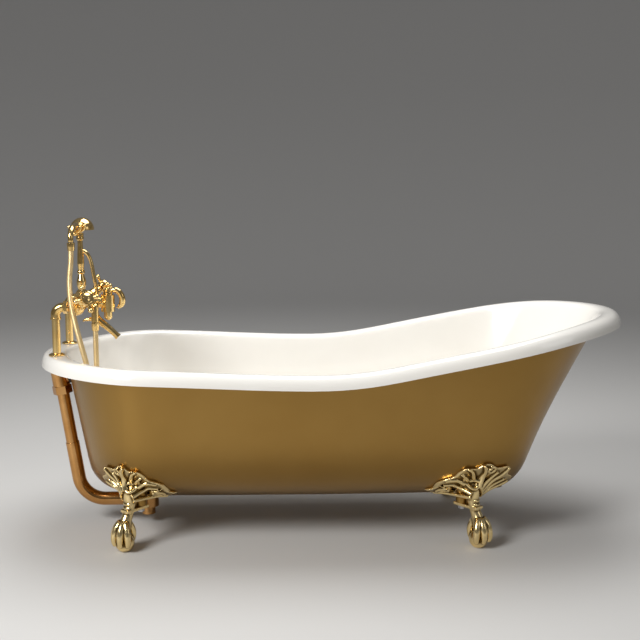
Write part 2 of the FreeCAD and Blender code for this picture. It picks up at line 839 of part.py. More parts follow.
def make_foot(foot, leaf_plug, rib_plug):
    """One claw foot on the near side, cut to sit off the tub by the seat gap."""
    sweep = foot.out * size.overrun * 2 * LEAF_DEPTH_SHARE
    leaf = leaf_outline(foot).extrude(sweep).common(leaf_plug)
    ribs = [rib.extrude(sweep).common(rib_plug) for rib in leaf_ribs(foot)]
    centre = size.ball_radius - size.ball_sink
    globe = ball(size.ball_radius, foot.point(0, 0, centre))
    claws = []
    for angle in CLAW_ANGLES:
        turn = math.radians(angle)
        path = []
        for reach, height in CLAW_SHARES:
            out = size.claw_reach * reach
            path.append(foot.point(out * math.cos(turn), out * math.sin(turn), size.claw_height * height))
        claws.append(horn(path, [size.claw_radius * share for share in CLAW_RADIUS_SHARES]))
    leg_path = [foot.point(size.claw_reach * out, 0, size.knee_height * up) for out, up in LEG_SHARES]
    swell = size.knee_radius - size.ankle_radius
    leg_radii = [size.ankle_radius + swell * share for share in LEG_RADIUS_SHARES]
    leg = horn(leg_path, leg_radii)
    tongue = Part.makeBox(size.tongue_reach, size.tongue_width, size.tongue_thickness)
    tongue.Placement = Placement(Vector(0, -size.tongue_width / 2, 0), Rotation())
    tongue = Part.Compound([tongue])
    inwards = Rotation(Vector(1, 0, 0), foot.out * -1)
    tongue.Placement = Placement(foot.point(0, 0, size.tongue_height), inwards)
    hole_radius = size.bolt_radius + size.bolt_hole_clearance
    hole_low = size.tongue_height - size.overrun
    hole_at = foot.point(-size.bolt_setback, 0, hole_low)
    hole = Part.makeCylinder(hole_radius, 2 * size.overrun + size.tongue_thickness, hole_at)
    shape = leg.fuse([globe, leaf] + ribs + claws + tongue.Solids)
    floor = Part.makeBox(size.bath_width, size.bath_width, size.ball_radius)
    floor.translate(foot.at - Vector(size.bath_width / 2, size.bath_width / 2, size.ball_radius))
    pad_at = foot.point(-size.bolt_setback, 0, size.tongue_height + size.tongue_thickness)
    pad_room = Part.makeCylinder(size.pad_radius + size.slip_fit, size.leaf_height, pad_at)
    shape = shape.cut([hole, floor, OUTER_PLUG, pad_room])
    shape = max(shape.Solids, key=lambda piece: piece.Volume)
    solid_node(f"{foot.name}_near_foot", shape)
    solid_node(f"{foot.name}_far_foot", mirrored_y(shape))


def make_foot_fasteners(feet):
    """Stud, washer and nut under each foot's tongue, each kind a group of four."""
    studs, washers, nuts = [], [], []
    for foot in feet:
        low = size.tongue_height - size.washer_thickness - size.foot_nut_height
        at = foot.point(-size.bolt_setback, 0, low)
        top = size.tongue_height + size.tongue_thickness + size.bolt_length / 2
        stud = Part.makeCylinder(size.bolt_radius, top - low, at)
        washer_at = at + Vector(0, 0, size.foot_nut_height)
        washer = Part.makeCylinder(size.washer_radius, size.washer_thickness, washer_at)
        washer = washer.cut(stud)
        corners = []
        for step in range(7):
            turn = math.pi * step / 3
            reach = size.foot_nut_flats / math.sqrt(3)
            corners.append(at + Vector(reach * math.cos(turn), reach * math.sin(turn), 0))
        nut = Part.Face(Part.makePolygon(corners)).extrude(Vector(0, 0, size.foot_nut_height)).cut(stud)
        for group, piece in ((studs, stud), (washers, washer), (nuts, nut)):
            group += [piece, mirrored_y(piece)]
    solid_node("foot_studs", Part.Compound(studs))
    solid_node("foot_washers", Part.Compound(washers))
    solid_node("foot_nuts", Part.Compound(nuts))


# Waste and overflow, all on the long axis


def waste_x(height):
    """Middle of the leaning overflow tube at a height."""
    lean = math.tan(math.radians(WASTE_LEAN))
    return tap_wall_x(size.overflow_height) - size.overflow_offset + (size.overflow_height - height) * lean


def waste_way():
    """Downward direction of the leaning overflow tube."""
    return Vector(waste_x(0) - waste_x(size.overflow_height), 0, -size.overflow_height).normalize()


def waste_point(height):
    return Vector(waste_x(height), 0, height)


def make_drain():
    """Drain flange with its spider, rubber gasket, pop-up stopper and the shoe below the tub."""
    seat = drain_seat() + size.seat_gap * 2
    shoe_top = size.belly_height - size.gasket_thickness
    at = Vector(-end_x(size.drain_x), 0, 0)
    flange_low = seat - size.drain_neck_length
    ring = post(size.drain_neck_radius, flange_low, seat, at.x, 0)
    rim = Part.makeCone(
        size.drain_flange_radius, size.drain_flange_radius - size.drain_flange_thickness,
        size.drain_flange_thickness, at + Vector(0, 0, seat),
    )
    flange = ring.fuse(rim).cut(post(size.drain_bore, flange_low, seat + size.overrun, at.x, 0))
    spokes = []
    for turn in (0, 60, 120):
        reach = 2 * size.drain_bore + size.waste_wall
        spoke = Part.makeBox(reach, size.spider_width, size.spider_thickness)
        spoke.translate(Vector(-size.drain_bore - size.waste_wall / 2, -size.spider_width / 2, 0))
        spoke.rotate(Vector(0, 0, 0), Vector(0, 0, 1), turn)
        spoke.translate(at + Vector(0, 0, flange_low))
        spokes.append(spoke)
    spokes.append(post(size.spider_hub, flange_low, flange_low + size.spider_thickness, at.x, 0))
    flange = flange.fuse(spokes)
    bore = post(size.stopper_stem + size.running_fit, flange_low - size.overrun, seat, at.x, 0)
    solid_node("drain_flange", flange.cut(bore))
    stem = bound.stopper_stem
    cap = bound.stopper_radius
    stem_low = seat + size.drain_flange_thickness + size.seat_gap - size.stopper_stem_length
    turned("drain_stopper", [
        (0, 0), (stem, 0), (stem, bound.stopper_stem_length), (cap, bound.stopper_stem_length),
        (cap, bound.stopper_stem_length + bound.stopper_thickness),
        (0, bound.stopper_stem_length + bound.stopper_thickness + bound.stopper_crown),
    ], Placement(at + Vector(0, 0, stem_low), Rotation()))
    inner = bound.drain_hole_radius + bound.slip_fit
    turned("drain_gasket", [
        (inner, 0), (bound.shoe_radius, 0),
        (bound.shoe_radius, bound.gasket_thickness), (inner, bound.gasket_thickness),
    ], Placement(at + Vector(0, 0, shoe_top), Rotation()))
    low = shoe_top - size.shoe_height
    body = post(size.shoe_radius, low, shoe_top, at.x, 0)
    inlet_end = Vector(-end_x(size.drain_x) - size.inlet_length, 0, size.waste_height)
    inlet_radius = size.waste_radius + size.shoe_wall
    centre = Vector(-end_x(size.drain_x), 0, size.waste_height)
    outlet_low = low - size.outlet_length
    relief_low = low - size.outlet_relief
    outlet = post(size.outlet_radius, outlet_low, relief_low, at.x, 0)
    neck = post(size.outlet_radius - size.shoe_wall / 2, relief_low, low, at.x, 0)
    shoe = body.fuse([bar(centre, inlet_end, inlet_radius), outlet, neck])
    neck_room = size.drain_neck_radius + size.slip_fit
    hollow = post(neck_room, low + size.shoe_wall, shoe_top + size.overrun, at.x, 0)
    hollow = hollow.fuse([
        bar(centre, inlet_end + Vector(-size.overrun, 0, 0), size.waste_radius + size.slip_fit),
        post(size.outlet_radius - size.shoe_wall, outlet_low - size.overrun, shoe_top, at.x, 0),
    ])
    solid_node("drain_shoe", shoe.cut(hollow))
    inlet_nut = inlet_end + Vector(-size.coupling_height, 0, 0)
    hex_nut("shoe_coupling_nut", bound.coupling_flats, bound.coupling_height,
            bound.waste_radius + bound.slip_fit, along(inlet_nut, Vector(1, 0, 0)))


def make_waste_tubes():
    """Lower bend from the shoe and the upper overflow tube that slips into it."""
    way = waste_way()
    top = waste_point(size.slip_height)
    reach = (size.slip_height - size.waste_height) / -way.z
    corner = top + way * reach
    end = Vector(-end_x(size.drain_x) - size.inlet_length + size.slip_overlap, 0, size.waste_height)
    path = rounded_path([top, corner, end], [size.waste_bend_radius])
    solid_node("waste_bend", tube(path, size.waste_radius, size.waste_wall))
    upper_radius = size.waste_radius - size.waste_wall - size.slip_fit
    upper_end = top + way * size.slip_overlap
    upper_start = waste_point(size.overflow_height) + way * (size.overflow_socket - size.slip_overlap)
    upper = bar(upper_start, upper_end, upper_radius)
    upper_bore = bar(upper_start, upper_end, upper_radius - size.overflow_tube_wall)
    solid_node("overflow_tube", upper.cut(upper_bore))
    nut_top = waste_point(size.overflow_height) + way * size.overflow_socket
    hex_nut("overflow_coupling_nut", bound.coupling_flats, bound.coupling_height,
            bound.waste_radius - bound.waste_wall, along(nut_top, way))


def make_overflow():
    """Elbow behind the tap end's wall, its gasket, the plate inside and the screw that joins them."""
    at, normal = overflow_axis()
    top = waste_point(size.overflow_height)
    way = waste_way()
    socket_end = top + way * size.overflow_socket
    face = at + normal * size.gasket_thickness
    elbow = bar(top, socket_end, size.overflow_body_radius).fuse([
        ball(size.overflow_body_radius, top),
        bar(face, top, size.overflow_neck_radius),
        bar(face, face + normal * size.overflow_flange_thickness, size.overflow_flange_radius),
    ])
    tube_radius = size.waste_radius - size.waste_wall
    hollow = bar(top, socket_end + way * size.overrun, tube_radius).fuse([
        bar(at - normal * size.overrun, top, size.overflow_bore),
    ])
    solid_node("overflow_elbow", elbow.cut(hollow))
    washer = bar(at - normal * size.overrun / 2, face, size.overflow_flange_radius)
    washer_hole = bar(at - normal * size.overrun, face + normal * size.overrun, size.overflow_hole_radius)
    washer = washer.cut(washer_hole)
    solid_node("overflow_gasket", washer.cut(OUTER_PLUG))
    inside = at - normal * (size.iron_wall + size.enamel_bond + size.enamel_thickness)
    front = inside - normal * size.overflow_plate_thickness
    plate = bar(inside + normal * size.overflow_plate_thickness, front, size.overflow_plate_radius)
    plate = plate.common(INNER_PLUG)
    upright = Rotation(Vector(0, 0, 1), normal)
    for shift in OVERFLOW_SLOT_SHARES:
        slot = Part.makeBox(size.overflow_slot_width, size.overflow_slot_length, 2 * size.overrun)
        slot.translate(Vector(
            shift * size.overflow_plate_radius - size.overflow_slot_width / 2,
            -size.overflow_slot_length / 2,
            -size.overrun,
        ))
        slot.Placement = Placement(inside, upright).multiply(slot.Placement)
        plate = plate.cut(slot)
    hole_start = front - normal * size.overrun
    screw_hole = bar(hole_start, inside + normal * size.overrun, size.overflow_screw_radius)
    solid_node("overflow_plate", plate.cut(screw_hole))
    head = bound.overflow_screw_head
    shank = bound.overflow_screw_radius - bound.running_fit
    turned("overflow_screw", [
        (0, 0), (shank, 0), (shank, bound.overflow_screw_length), (head, bound.overflow_screw_length),
        (0, bound.overflow_screw_length + head / 2, bound.overflow_screw_head * 1.25),
    ], along(front + normal * size.overflow_screw_length, normal * -1))


# Risers on the deck


def make_riser(name, y):
    """Riser pipe with its deck flange, washer, lock nut, elbow and union nut."""
    seat = deck_seat()
    at = Vector(-end_x(size.riser_x), y, 0)
    wall = size.iron_wall + size.enamel_bond + size.enamel_thickness
    under = seat - size.seat_gap * DECK_ROOM_SHARE - wall - size.deck_washer_thickness
    elbow_low = size.tap_height - size.elbow_drop
    pipe_low = seat - size.riser_tail
    pipe = bar(at + Vector(0, 0, pipe_low), at + Vector(0, 0, elbow_low), size.riser_radius)
    bore = size.riser_radius - size.riser_wall
    groove_low = pipe_low + size.supply_length
    groove = post(size.riser_flange_radius, groove_low, groove_low + size.supply_groove, at.x, y)
    neck = size.riser_radius - size.supply_groove_depth
    pipe = pipe.cut(groove.cut(post(neck, groove_low, groove_low + size.supply_groove, at.x, y)))
    pipe = pipe.cut(bar(at + Vector(0, 0, pipe_low), at + Vector(0, 0, elbow_low), bore))
    solid_node(f"{name}_riser_pipe", pipe)
    hole = bound.riser_radius + bound.running_fit
    turned(f"{name}_riser_flange", [
        (hole, 0), (bound.riser_flange_radius, 0),
        (bound.riser_flange_radius, bound.riser_flange_height / 3),
        (hole + bound.riser_wall, bound.riser_flange_height, bound.riser_flange_radius),
        (hole, bound.riser_flange_height),
    ], Placement(at + Vector(0, 0, seat), Rotation()))
    turned(f"{name}_deck_washer", [
        (hole, 0), (bound.deck_washer_radius, 0), (bound.deck_washer_radius, bound.deck_washer_thickness),
        (hole, bound.deck_washer_thickness),
    ], Placement(at + Vector(0, 0, under), Rotation()))
    nut_at = at + Vector(0, 0, under - size.lock_nut_height)
    nut_place = Placement(nut_at, Rotation())
    hex_nut(f"{name}_lock_nut", bound.lock_nut_flats, bound.lock_nut_height, hole, nut_place)
    nut_start = -end_x(size.tap_x) - size.chamber_radius - size.union_length
    top = at + Vector(0, 0, elbow_low)
    corner = at + Vector(0, 0, size.tap_height)
    end = Vector(nut_start, y, size.tap_height)
    path = rounded_path([top, corner, end], [size.elbow_bend])
    elbow = rod(path, size.elbow_radius)
    collar = bar(top, top + Vector(0, 0, size.elbow_collar_height), size.elbow_collar)
    elbow = elbow.fuse(collar).cut(rod(path, size.riser_radius - size.riser_wall))
    solid_node(f"{name}_elbow", elbow)
    hex_nut(f"{name}_union_nut", bound.union_flats, bound.union_length, bound.inlet_radius + bound.running_fit,
            along(end, Vector(1, 0, 0)))


# Tap: body, valves with cross handles, diverter and spout


def valve_axis(side):
    """Middle of a valve chamber and the splayed direction of its handle."""
    out, away, up = VALVE_SPLAY
    middle = Vector(-end_x(size.tap_x), side * size.riser_y, size.tap_height)
    return middle, Vector(out, side * away, up).normalize()


def make_tap_body():
    """Cast body: barrel between two valve chambers, stem to the diverter housing and hose outlet."""
    level = size.tap_height
    near = Vector(-end_x(size.tap_x), -size.riser_y, level)
    far = Vector(-end_x(size.tap_x), size.riser_y, level)
    house = Vector(-end_x(size.diverter_x), 0, 0)
    house_low = size.housing_low - size.housing_foot_height
    outlet = Vector(-end_x(size.outlet_x), -size.outlet_y, level - size.outlet_arm_drop)
    pieces = [
        ball(size.chamber_radius, near),
        ball(size.chamber_radius, far),
        bar(Vector(-end_x(size.tap_x), 0, level), Vector(-end_x(size.diverter_x), 0, level), size.stem_radius),
        post(size.housing_radius, size.housing_low, size.housing_high, house.x, 0),
        post(size.housing_foot_radius, house_low, size.housing_low, house.x, 0),
        ball(size.housing_foot_radius, house + Vector(0, 0, house_low)),
        post(size.post_boss_radius, level, level + size.post_boss_height, -end_x(size.tap_x), 0),
        bar(Vector(-end_x(size.outlet_x), 0, outlet.z), outlet, size.outlet_arm_radius),
        ball(size.outlet_arm_radius, outlet),
        post(size.outlet_arm_radius, size.outlet_low, outlet.z, outlet.x, outlet.y),
    ]
    for side in (-1, 1):
        middle, way = valve_axis(side)
        pieces.append(bar(middle, middle + way * size.valve_boss_end, size.valve_boss_radius))
        inlet_end = middle - Vector(size.chamber_radius + size.union_length, 0, 0)
        pieces.append(bar(inlet_end, middle, size.inlet_radius))
        for share in BARREL_RING_SHARES:
            ring_at = Vector(-end_x(size.tap_x), side * size.riser_y * share, level)
            ring_end = ring_at + Vector(0, side * size.barrel_ring_length, 0)
            pieces.append(bar(ring_at, ring_end, size.barrel_radius + size.barrel_ring_rise))
    body = bar(near, far, size.barrel_radius).fuse(pieces)
    for side in (-1, 1):
        middle, way = valve_axis(side)
        inlet = Vector(size.chamber_radius + size.union_length, 0, 0)
        body = body.cut(bar(middle - inlet, middle, size.spout_bore))
    solid_node("tap_body", body)


def make_valve(name, side):
    """Bonnet, spindle, cross handle and hub cap along one splayed valve axis."""
    middle, way = valve_axis(side)
    place = along(middle, way)
    hole = bound.spindle_radius + bound.running_fit
    turned(f"{name}_bonnet", [
        (hole, bound.valve_boss_end), (bound.bonnet_radius, bound.valve_boss_end),
        (bound.bonnet_radius, bound.valve_boss_end + bound.bonnet_radius),
        (hole + bound.arm_radius, bound.bonnet_end), (hole, bound.bonnet_end),
    ], place)
    stem = bound.spindle_radius
    turned(f"{name}_spindle", [
        (0, bound.spindle_start), (stem, bound.spindle_start),
        (stem, bound.spindle_end), (0, bound.spindle_end),
    ], place)
    up = Vector(0, 0, 1)
    rise = size.hub_end - size.hub_start
    hub = Part.makeCone(size.hub_waist, size.hub_radius, rise / 2, up * size.hub_start)
    arms = [Part.makeCylinder(size.hub_radius, rise / 2, up * (size.hub_start + rise / 2))]
    for turn in range(4):
        reach = Vector(math.cos(turn * math.pi / 2), math.sin(turn * math.pi / 2), 0) * size.arm_reach
        arm_level = up * (size.hub_start + rise * ARM_LEVEL_SHARE)
        arms.append(bar(arm_level, arm_level + reach, size.arm_radius))
        arms.append(ball(size.arm_ball, arm_level + reach))
    deep = size.spindle_end - size.hub_start
    socket = Part.makeCylinder(size.spindle_radius + size.running_fit, deep, up * size.hub_start)
    handle = hub.fuse(arms).cut(socket)
    turn = Rotation(up, HANDLE_TURN * side)
    solid_node(f"{name}_handle", handle, place.multiply(Placement(Vector(0, 0, 0), turn)))
    top = bound.hub_end
    edge = bound.cap_height * CAP_EDGE_SHARE
    turned(f"{name}_cap", [
        (0, top), (bound.cap_radius, top), (bound.cap_radius, top + edge),
        (0, top + bound.cap_height, dome_radius(bound.cap_radius, bound.cap_height - edge)),
    ], place)


def make_diverter():
    """Bonnet, spindle, beak lever and finial on the diverter housing."""
    base = Placement(Vector(-end_x(size.diverter_x), 0, size.housing_high), Rotation())
    hole = bound.diverter_spindle_radius + bound.running_fit
    rise = bound.diverter_bonnet_height
    turned("diverter_bonnet", [
        (hole, 0), (bound.diverter_bonnet_radius, 0), (bound.diverter_bonnet_radius, rise / 2),
        (hole + bound.lever_radius, rise), (hole, rise),
    ], base)
    stem = bound.diverter_spindle_radius
    hub_low = rise + bound.lever_gap
    turned("diverter_spindle", [
        (0, bound.lever_gap), (stem, bound.lever_gap), (stem, hub_low + bound.lever_hub_height),
        (0, hub_low + bound.lever_hub_height),
    ], base)
    low = size.housing_high + size.diverter_bonnet_height + size.lever_gap
    hub = post(size.lever_hub_radius, low, low + size.lever_hub_height, -end_x(size.diverter_x), 0)
    path = []
    for out, drop in BEAK_SHARES:
        height = low + size.lever_hub_height / 2 - size.lever_drop * drop
        path.append(Vector(-end_x(size.diverter_x) + size.lever_reach * out, 0, height))
    beak = horn(path, [size.lever_radius * share for share in BEAK_RADIUS_SHARES])
    socket_radius = size.diverter_spindle_radius + size.running_fit
    under = low - size.overrun
    socket = post(socket_radius, under, low + size.lever_hub_height, -end_x(size.diverter_x), 0)
    beak = beak.cut(post(size.lever_hub_radius / 2, under, low + size.overrun, -end_x(size.diverter_x), 0))
    clear = size.diverter_bonnet_radius + size.lever_gap
    beak = beak.cut(post(clear, size.housing_high, low, -end_x(size.diverter_x), 0))
    solid_node("diverter_lever", hub.fuse(beak).cut(socket))
    knob = bound.finial_radius
    tall = bound.finial_height
    outline = [(0, 0), (knob, 0)]
    outline += [(knob * across, tall * up) for across, up in FINIAL_NECK_SHARES]
    outline.append((knob, tall * FINIAL_SHOULDER_SHARE, knob * FINIAL_ROUND_SHARE))
    outline.append((0, tall, dome_radius(knob, tall * (1 - FINIAL_SHOULDER_SHARE))))
    top = Vector(-end_x(size.diverter_x), 0, low + size.lever_hub_height)
    turned("diverter_finial", outline, Placement(top, Rotation()))


def make_spout():
    """Spout with its curled tail, and the ring at its mouth."""
    root = Vector(-end_x(size.spout_root_x), 0, size.spout_root_height)
    tip = Vector(-end_x(size.spout_tip_x), 0, size.spout_tip_height)
    run = tip - root
    path = [root + Vector(run.x * out, 0, run.z * down) for out, down in SPOUT_SHARES]
    spout = horn(path, [size.spout_radius * share for share in SPOUT_RADIUS_SHARES])
    tail_root = path[HORN_ROOT]
    tail = Vector(-end_x(size.horn_tip_x), 0, size.horn_tip_height) - tail_root
    curl = [tail_root + Vector(tail.x * out, 0, tail.z * up) for out, up in HORN_SHARES]
    spout = spout.fuse(horn(curl, [size.spout_radius * share for share in HORN_RADIUS_SHARES]))
    way = (path[-1] - path[-2]).normalize()
    spout = spout.cut(bar(tip - way * size.overrun, tip + way * size.overrun, size.spout_bore))
    level = Vector(-end_x(size.tap_x), 0, size.tap_height)
    stem_end = level + Vector(2 * size.overrun + size.stem_radius * 2, 0, 0)
    stem = bar(level, stem_end, size.stem_radius + size.seat_gap / 3)
    solid_node("spout", spout.cut(stem))
    inner = bound.spout_bore
    turned("spout_ring", [
        (inner, 0), (bound.spout_ring_radius, 0), (bound.spout_ring_radius, bound.spout_ring_length),
        (inner, bound.spout_ring_length),
    ], along(tip, way))


# Column, brace, cradle and hand shower


def cradle_frame():
    """Placement of the cradle and hand shower: on the column, turned a little about it."""
    top = size.tap_height + size.post_boss_height + size.column_height
    spot = Vector(-end_x(size.tap_x) - size.cradle_offset, 0, top)
    return Placement(spot, Rotation(Vector(0, 0, 1), CRADLE_TURN))


def grip_level():
    """Height of the grip's middle over the column's top."""
    ring = size.grip_radius + size.seat_gap + size.hook_radius * KNOB_SHARE
    return size.cradle_boss_height + size.cradle_bar_radius + ring - size.hook_radius + size.seat_gap * 2


def make_column():
    """Turned column on the tap's boss."""
    wide, neck, tall = bound.column_radius, bound.column_neck, bound.column_height
    outline = [(0, 0)]
    outline += [(neck + (wide - neck) * out, tall * up) for out, up in COLUMN_SHARES]
    outline.append((0, tall))
    base = Vector(-end_x(size.tap_x), 0, size.tap_height + size.post_boss_height)
    turned("shower_column", outline, Placement(base, Rotation()))


def make_brace():
    """Bent rod from the tap's stem to a collar on the column."""
    foot = Vector(-end_x(size.brace_foot_x), 0, size.tap_height + size.stem_radius * BRACE_FOOT_SHARE)
    base = size.tap_height + size.post_boss_height
    head = Vector(-end_x(size.tap_x) + size.column_radius * BRACE_HEAD_SHARE, 0, base + size.brace_head)
    run = head - foot
    path = [foot + Vector(run.x * out, 0, run.z * up) for out, up in BRACE_SHARES]
    rod_shape = horn(path, [size.brace_radius] * len(path))
    level = Vector(-end_x(size.tap_x), 0, size.tap_height)
    stem_end = level + Vector(2 * size.overrun + size.stem_radius * 2, 0, 0)
    stem = bar(level, stem_end, size.stem_radius + size.seat_gap / 3)
    column = next(item for item in nodes if item.Label == "shower_column")
    doc.recompute()
    solid_node("column_brace", rod_shape.cut([stem, column.Shape]))


def make_cradle():
    """Two upturned hooks on a bar over the column."""
    place = cradle_frame()
    bar_level = size.cradle_boss_height
    ring = size.grip_radius + size.seat_gap + size.hook_radius * KNOB_SHARE
    span = Vector(0, size.cradle_half_span, 0)
    level = Vector(0, 0, bar_level)
    boss_at = Vector(size.cradle_offset, 0, 0)
    shape = Part.makeCylinder(size.cradle_boss_radius, size.cradle_boss_height, boss_at)
    pieces = [bar(level - span, level + span, size.cradle_bar_radius)]
    for side in (-1, 1):
        middle = Vector(0, side * size.cradle_half_span, grip_level())
        hook = Part.makeTorus(ring, size.hook_radius, Vector(0, 0, 0), Vector(0, 0, 1), -180, 180, 180)
        hook.Placement = Placement(middle, Rotation(Vector(1, 0, 0), -90))
        pieces.append(hook)
        for way in (-1, 1):
            pieces.append(ball(size.hook_radius * KNOB_SHARE, middle + Vector(way * ring, 0, 0)))
        pieces.append(ball(size.cradle_bar_radius * BAR_END_SHARE, level + span * side))
    solid_node("shower_cradle", shape.fuse(pieces), place)


def make_hand_shower():
    """Grip with its bent tail and rose, and the face plate under the rose."""
    place = cradle_frame()
    level = grip_level()
    path = []
    for along_share, drop in GRIP_SHARES:
        y = size.rose_reach + (-size.tail_reach - size.rose_reach) * along_share
        path.append(Vector(0, y, level - size.tail_drop * drop))
    grip = horn(path, [size.grip_radius * share for share in GRIP_RADIUS_SHARES])
    rose_at = Vector(0, size.rose_reach, level - size.rose_face_drop)
    outer, tall = size.rose_radius, size.rose_height
    round_radius = dome_radius(outer, tall)
    dome = Part.makeSphere(round_radius, rose_at + Vector(0, 0, tall - round_radius))
    slab = Part.makeCylinder(outer, tall, rose_at)
    dome = dome.common(slab)
    plate_room = Part.makeCylinder(size.rose_plate_radius, size.rose_plate_thickness, rose_at)
    rose = grip.fuse(dome).cut(plate_room)
    solid_node("hand_shower", rose, place)
    face = Part.makeCylinder(size.rose_plate_radius - size.running_fit, size.rose_plate_thickness, rose_at)
    solid_node("rose_plate", face, place)


def hose_nut_outline():
    """Conical nut with a plain bore for the hose."""
    bore = bound.hose_radius + bound.running_fit
    wide = bound.hose_nut_radius
    tall = bound.hose_nut_length
    shoulder = tall * NUT_SHOULDER_SHARE
    return [(bore, 0), (wide, 0), (wide, shoulder), (bore + bound.hose_washer_thickness, tall), (bore, tall)]


def make_hose():
    """Hose from the hand shower's tail down into the tub and up to the tap's outlet, with its nuts."""
    tail = cradle_frame().multVec(Vector(0, -size.tail_reach, grip_level() - size.tail_drop))
    outlet = Vector(-end_x(size.outlet_x), -size.outlet_y, size.outlet_low)
    gap = Vector(0, 0, size.hose_washer_thickness)
    points = [tail - gap, tail - gap - Vector(0, 0, size.hose_straight)]
    points += [outlet - gap + Vector(*share) * size.hose_drop for share in HOSE_SHARES]
    points.append(outlet - gap)
    turns = []
    for before, corner, after in zip(points, points[1:], points[2:]):
        shorter = min((corner - before).Length, (after - corner).Length)
        turn = math.pi - (before - corner).getAngle(after - corner)
        turns.append(HOSE_ROUND_SHARE * shorter / math.tan(turn / 2))
    path = rounded_path(points, turns)
    shape = rod(path, size.hose_radius)
    expected = math.pi * size.hose_radius**2 * path.Length
    print("hose radii", [round(value) for value in turns], "length", round(path.Length))
    print("hose volume share", round(shape.Volume / expected, 4))
    solid_node("shower_hose", shape)
    for name, at in (("top", tail - gap), ("bottom", outlet - gap)):
        turned(f"hose_{name}_nut", hose_nut_outline(), along(at, Vector(0, 0, -1)))
        washer = Part.makeCylinder(size.tail_radius, size.hose_washer_thickness, at)
        solid_node(f"hose_{name}_washer", washer)
    print("hose points", [tuple(round(value, 1) for value in point) for point in points])


FEET = (Foot("tap", -end_x(size.tap_foot_x), -1), Foot("slipper", end_x(size.slipper_foot_x), 1))
make_tub(FEET)
LEAF_PLUG = tub_plug(size.iron_wall + size.leaf_thickness)
RIB_PLUG = tub_plug(size.iron_wall + size.rib_thickness)
for item in FEET:
    make_foot(item, LEAF_PLUG, RIB_PLUG)
make_foot_fasteners(FEET)
make_drain()
make_waste_tubes()
make_overflow()
for side_name, side_way in (("hot", -1), ("cold", 1)):
    make_riser(side_name, side_way * size.riser_y)
    make_valve(side_name, side_way)
make_tap_body()
make_diverter()
make_spout()
make_column()
make_brace()
make_cradle()
make_hand_shower()
make_hose()


def write_parts():
    """Check every object, then write each node's solid."""
    doc.recompute()
    for item in doc.Objects:
        if "Invalid" in item.State or "Error" in item.State:
            raise RuntimeError(f"{item.Label} failed: {item.State}")
    for item in nodes:
        if item.Shape.isNull() or not item.Shape.isValid():
            raise RuntimeError(f"{item.Label} has no valid shape")
    os.makedirs("parts", exist_ok=True)
    for item in nodes:
        item.Shape.exportStep(os.path.join("parts", f"{item.Label}.step"))
        box = item.Shape.BoundBox
        span = f"z {box.ZMin:.1f} to {box.ZMax:.1f}"
        print(f"{item.Label}: {len(item.Shape.Solids)} solids, {item.Shape.Volume:.0f} mm3, {span}")


write_parts()
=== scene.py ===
"""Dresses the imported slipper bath: finishes, carved claw feet, hose, floor, light and camera."""
import json
import logging
import math
from dataclasses import dataclass, field
from enum import Enum
from typing import Dict, List, Optional, Sequence, Tuple

import bmesh
import bpy
from mathutils import Matrix, Vector
from mathutils.bvhtree import BVHTree

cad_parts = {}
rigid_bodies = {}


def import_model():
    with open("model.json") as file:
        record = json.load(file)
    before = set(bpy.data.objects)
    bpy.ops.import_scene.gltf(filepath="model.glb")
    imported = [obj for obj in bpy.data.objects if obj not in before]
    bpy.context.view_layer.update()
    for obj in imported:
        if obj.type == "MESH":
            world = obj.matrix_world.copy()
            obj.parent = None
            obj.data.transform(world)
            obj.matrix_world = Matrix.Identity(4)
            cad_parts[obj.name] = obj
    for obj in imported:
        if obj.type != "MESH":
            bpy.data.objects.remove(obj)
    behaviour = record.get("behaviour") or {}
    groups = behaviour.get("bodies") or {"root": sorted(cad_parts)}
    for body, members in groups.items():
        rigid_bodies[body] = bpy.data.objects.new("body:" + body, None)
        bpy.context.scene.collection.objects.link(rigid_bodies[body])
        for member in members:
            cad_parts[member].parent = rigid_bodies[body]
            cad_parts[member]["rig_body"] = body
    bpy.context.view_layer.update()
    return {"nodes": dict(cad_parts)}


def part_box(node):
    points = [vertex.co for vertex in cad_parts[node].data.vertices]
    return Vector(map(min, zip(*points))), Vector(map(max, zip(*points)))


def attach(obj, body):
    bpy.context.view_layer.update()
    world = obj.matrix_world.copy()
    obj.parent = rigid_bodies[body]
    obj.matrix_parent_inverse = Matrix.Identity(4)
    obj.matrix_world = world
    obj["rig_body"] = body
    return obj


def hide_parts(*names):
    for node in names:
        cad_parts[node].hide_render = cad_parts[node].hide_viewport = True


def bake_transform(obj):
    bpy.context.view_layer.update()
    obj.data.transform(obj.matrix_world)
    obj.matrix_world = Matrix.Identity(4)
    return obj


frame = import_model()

LOG = logging.getLogger("slipper_bath")
Colour = Tuple[float, float, float]
Point = Tuple[float, float, float]

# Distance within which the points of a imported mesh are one
MERGE = 0.00002

# Part of a noise that is stretched over a finish, and how much finer the haze is than the mottle
NOISE_LOW = 0.35
NOISE_HIGH = 0.65
HAZE_FINER = 3.7

# Sockets of a colour mix, which share their names with those of its other kinds
MIX_DARK = 6
MIX_LIGHT = 7
MIX_RESULT = 2

# Order of a spline, its steps from point to point and the extra sides of a rod's rings
SPLINE_ORDER = 3
LINE_STEPS = 24
ROD_STEPS = 6
ROD_SIDES = 3

# Winding of a scroll on a leaf: degrees in a step, fewest steps and how far it closes
CURL_STEP = 32
CURL_LEAST_STEPS = 5
CURL_CLOSING = 0.68


class Slot(Enum):
    """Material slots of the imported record."""

    GOLD_PAINT = "gold_paint"
    WHITE_ENAMEL = "white_enamel"
    POLISHED_GOLD = "polished_gold"
    GOLD_IRON = "gold_iron"
    COPPER_BRASS_AND_SHADE = "copper_brass"
    HOSE_GOLD = "hose_gold"
    BLACK_RUBBER = "black_rubber"
    ZINC_STEEL = "zinc_steel"


class Relief(Enum):
    """What the share of a finish's two colours follows."""

    GRAIN = "grain"
    # Follows the hollow mark, so the dark colour is painted shade in the hollows.
    PAINTED_SHADE = "cavity"


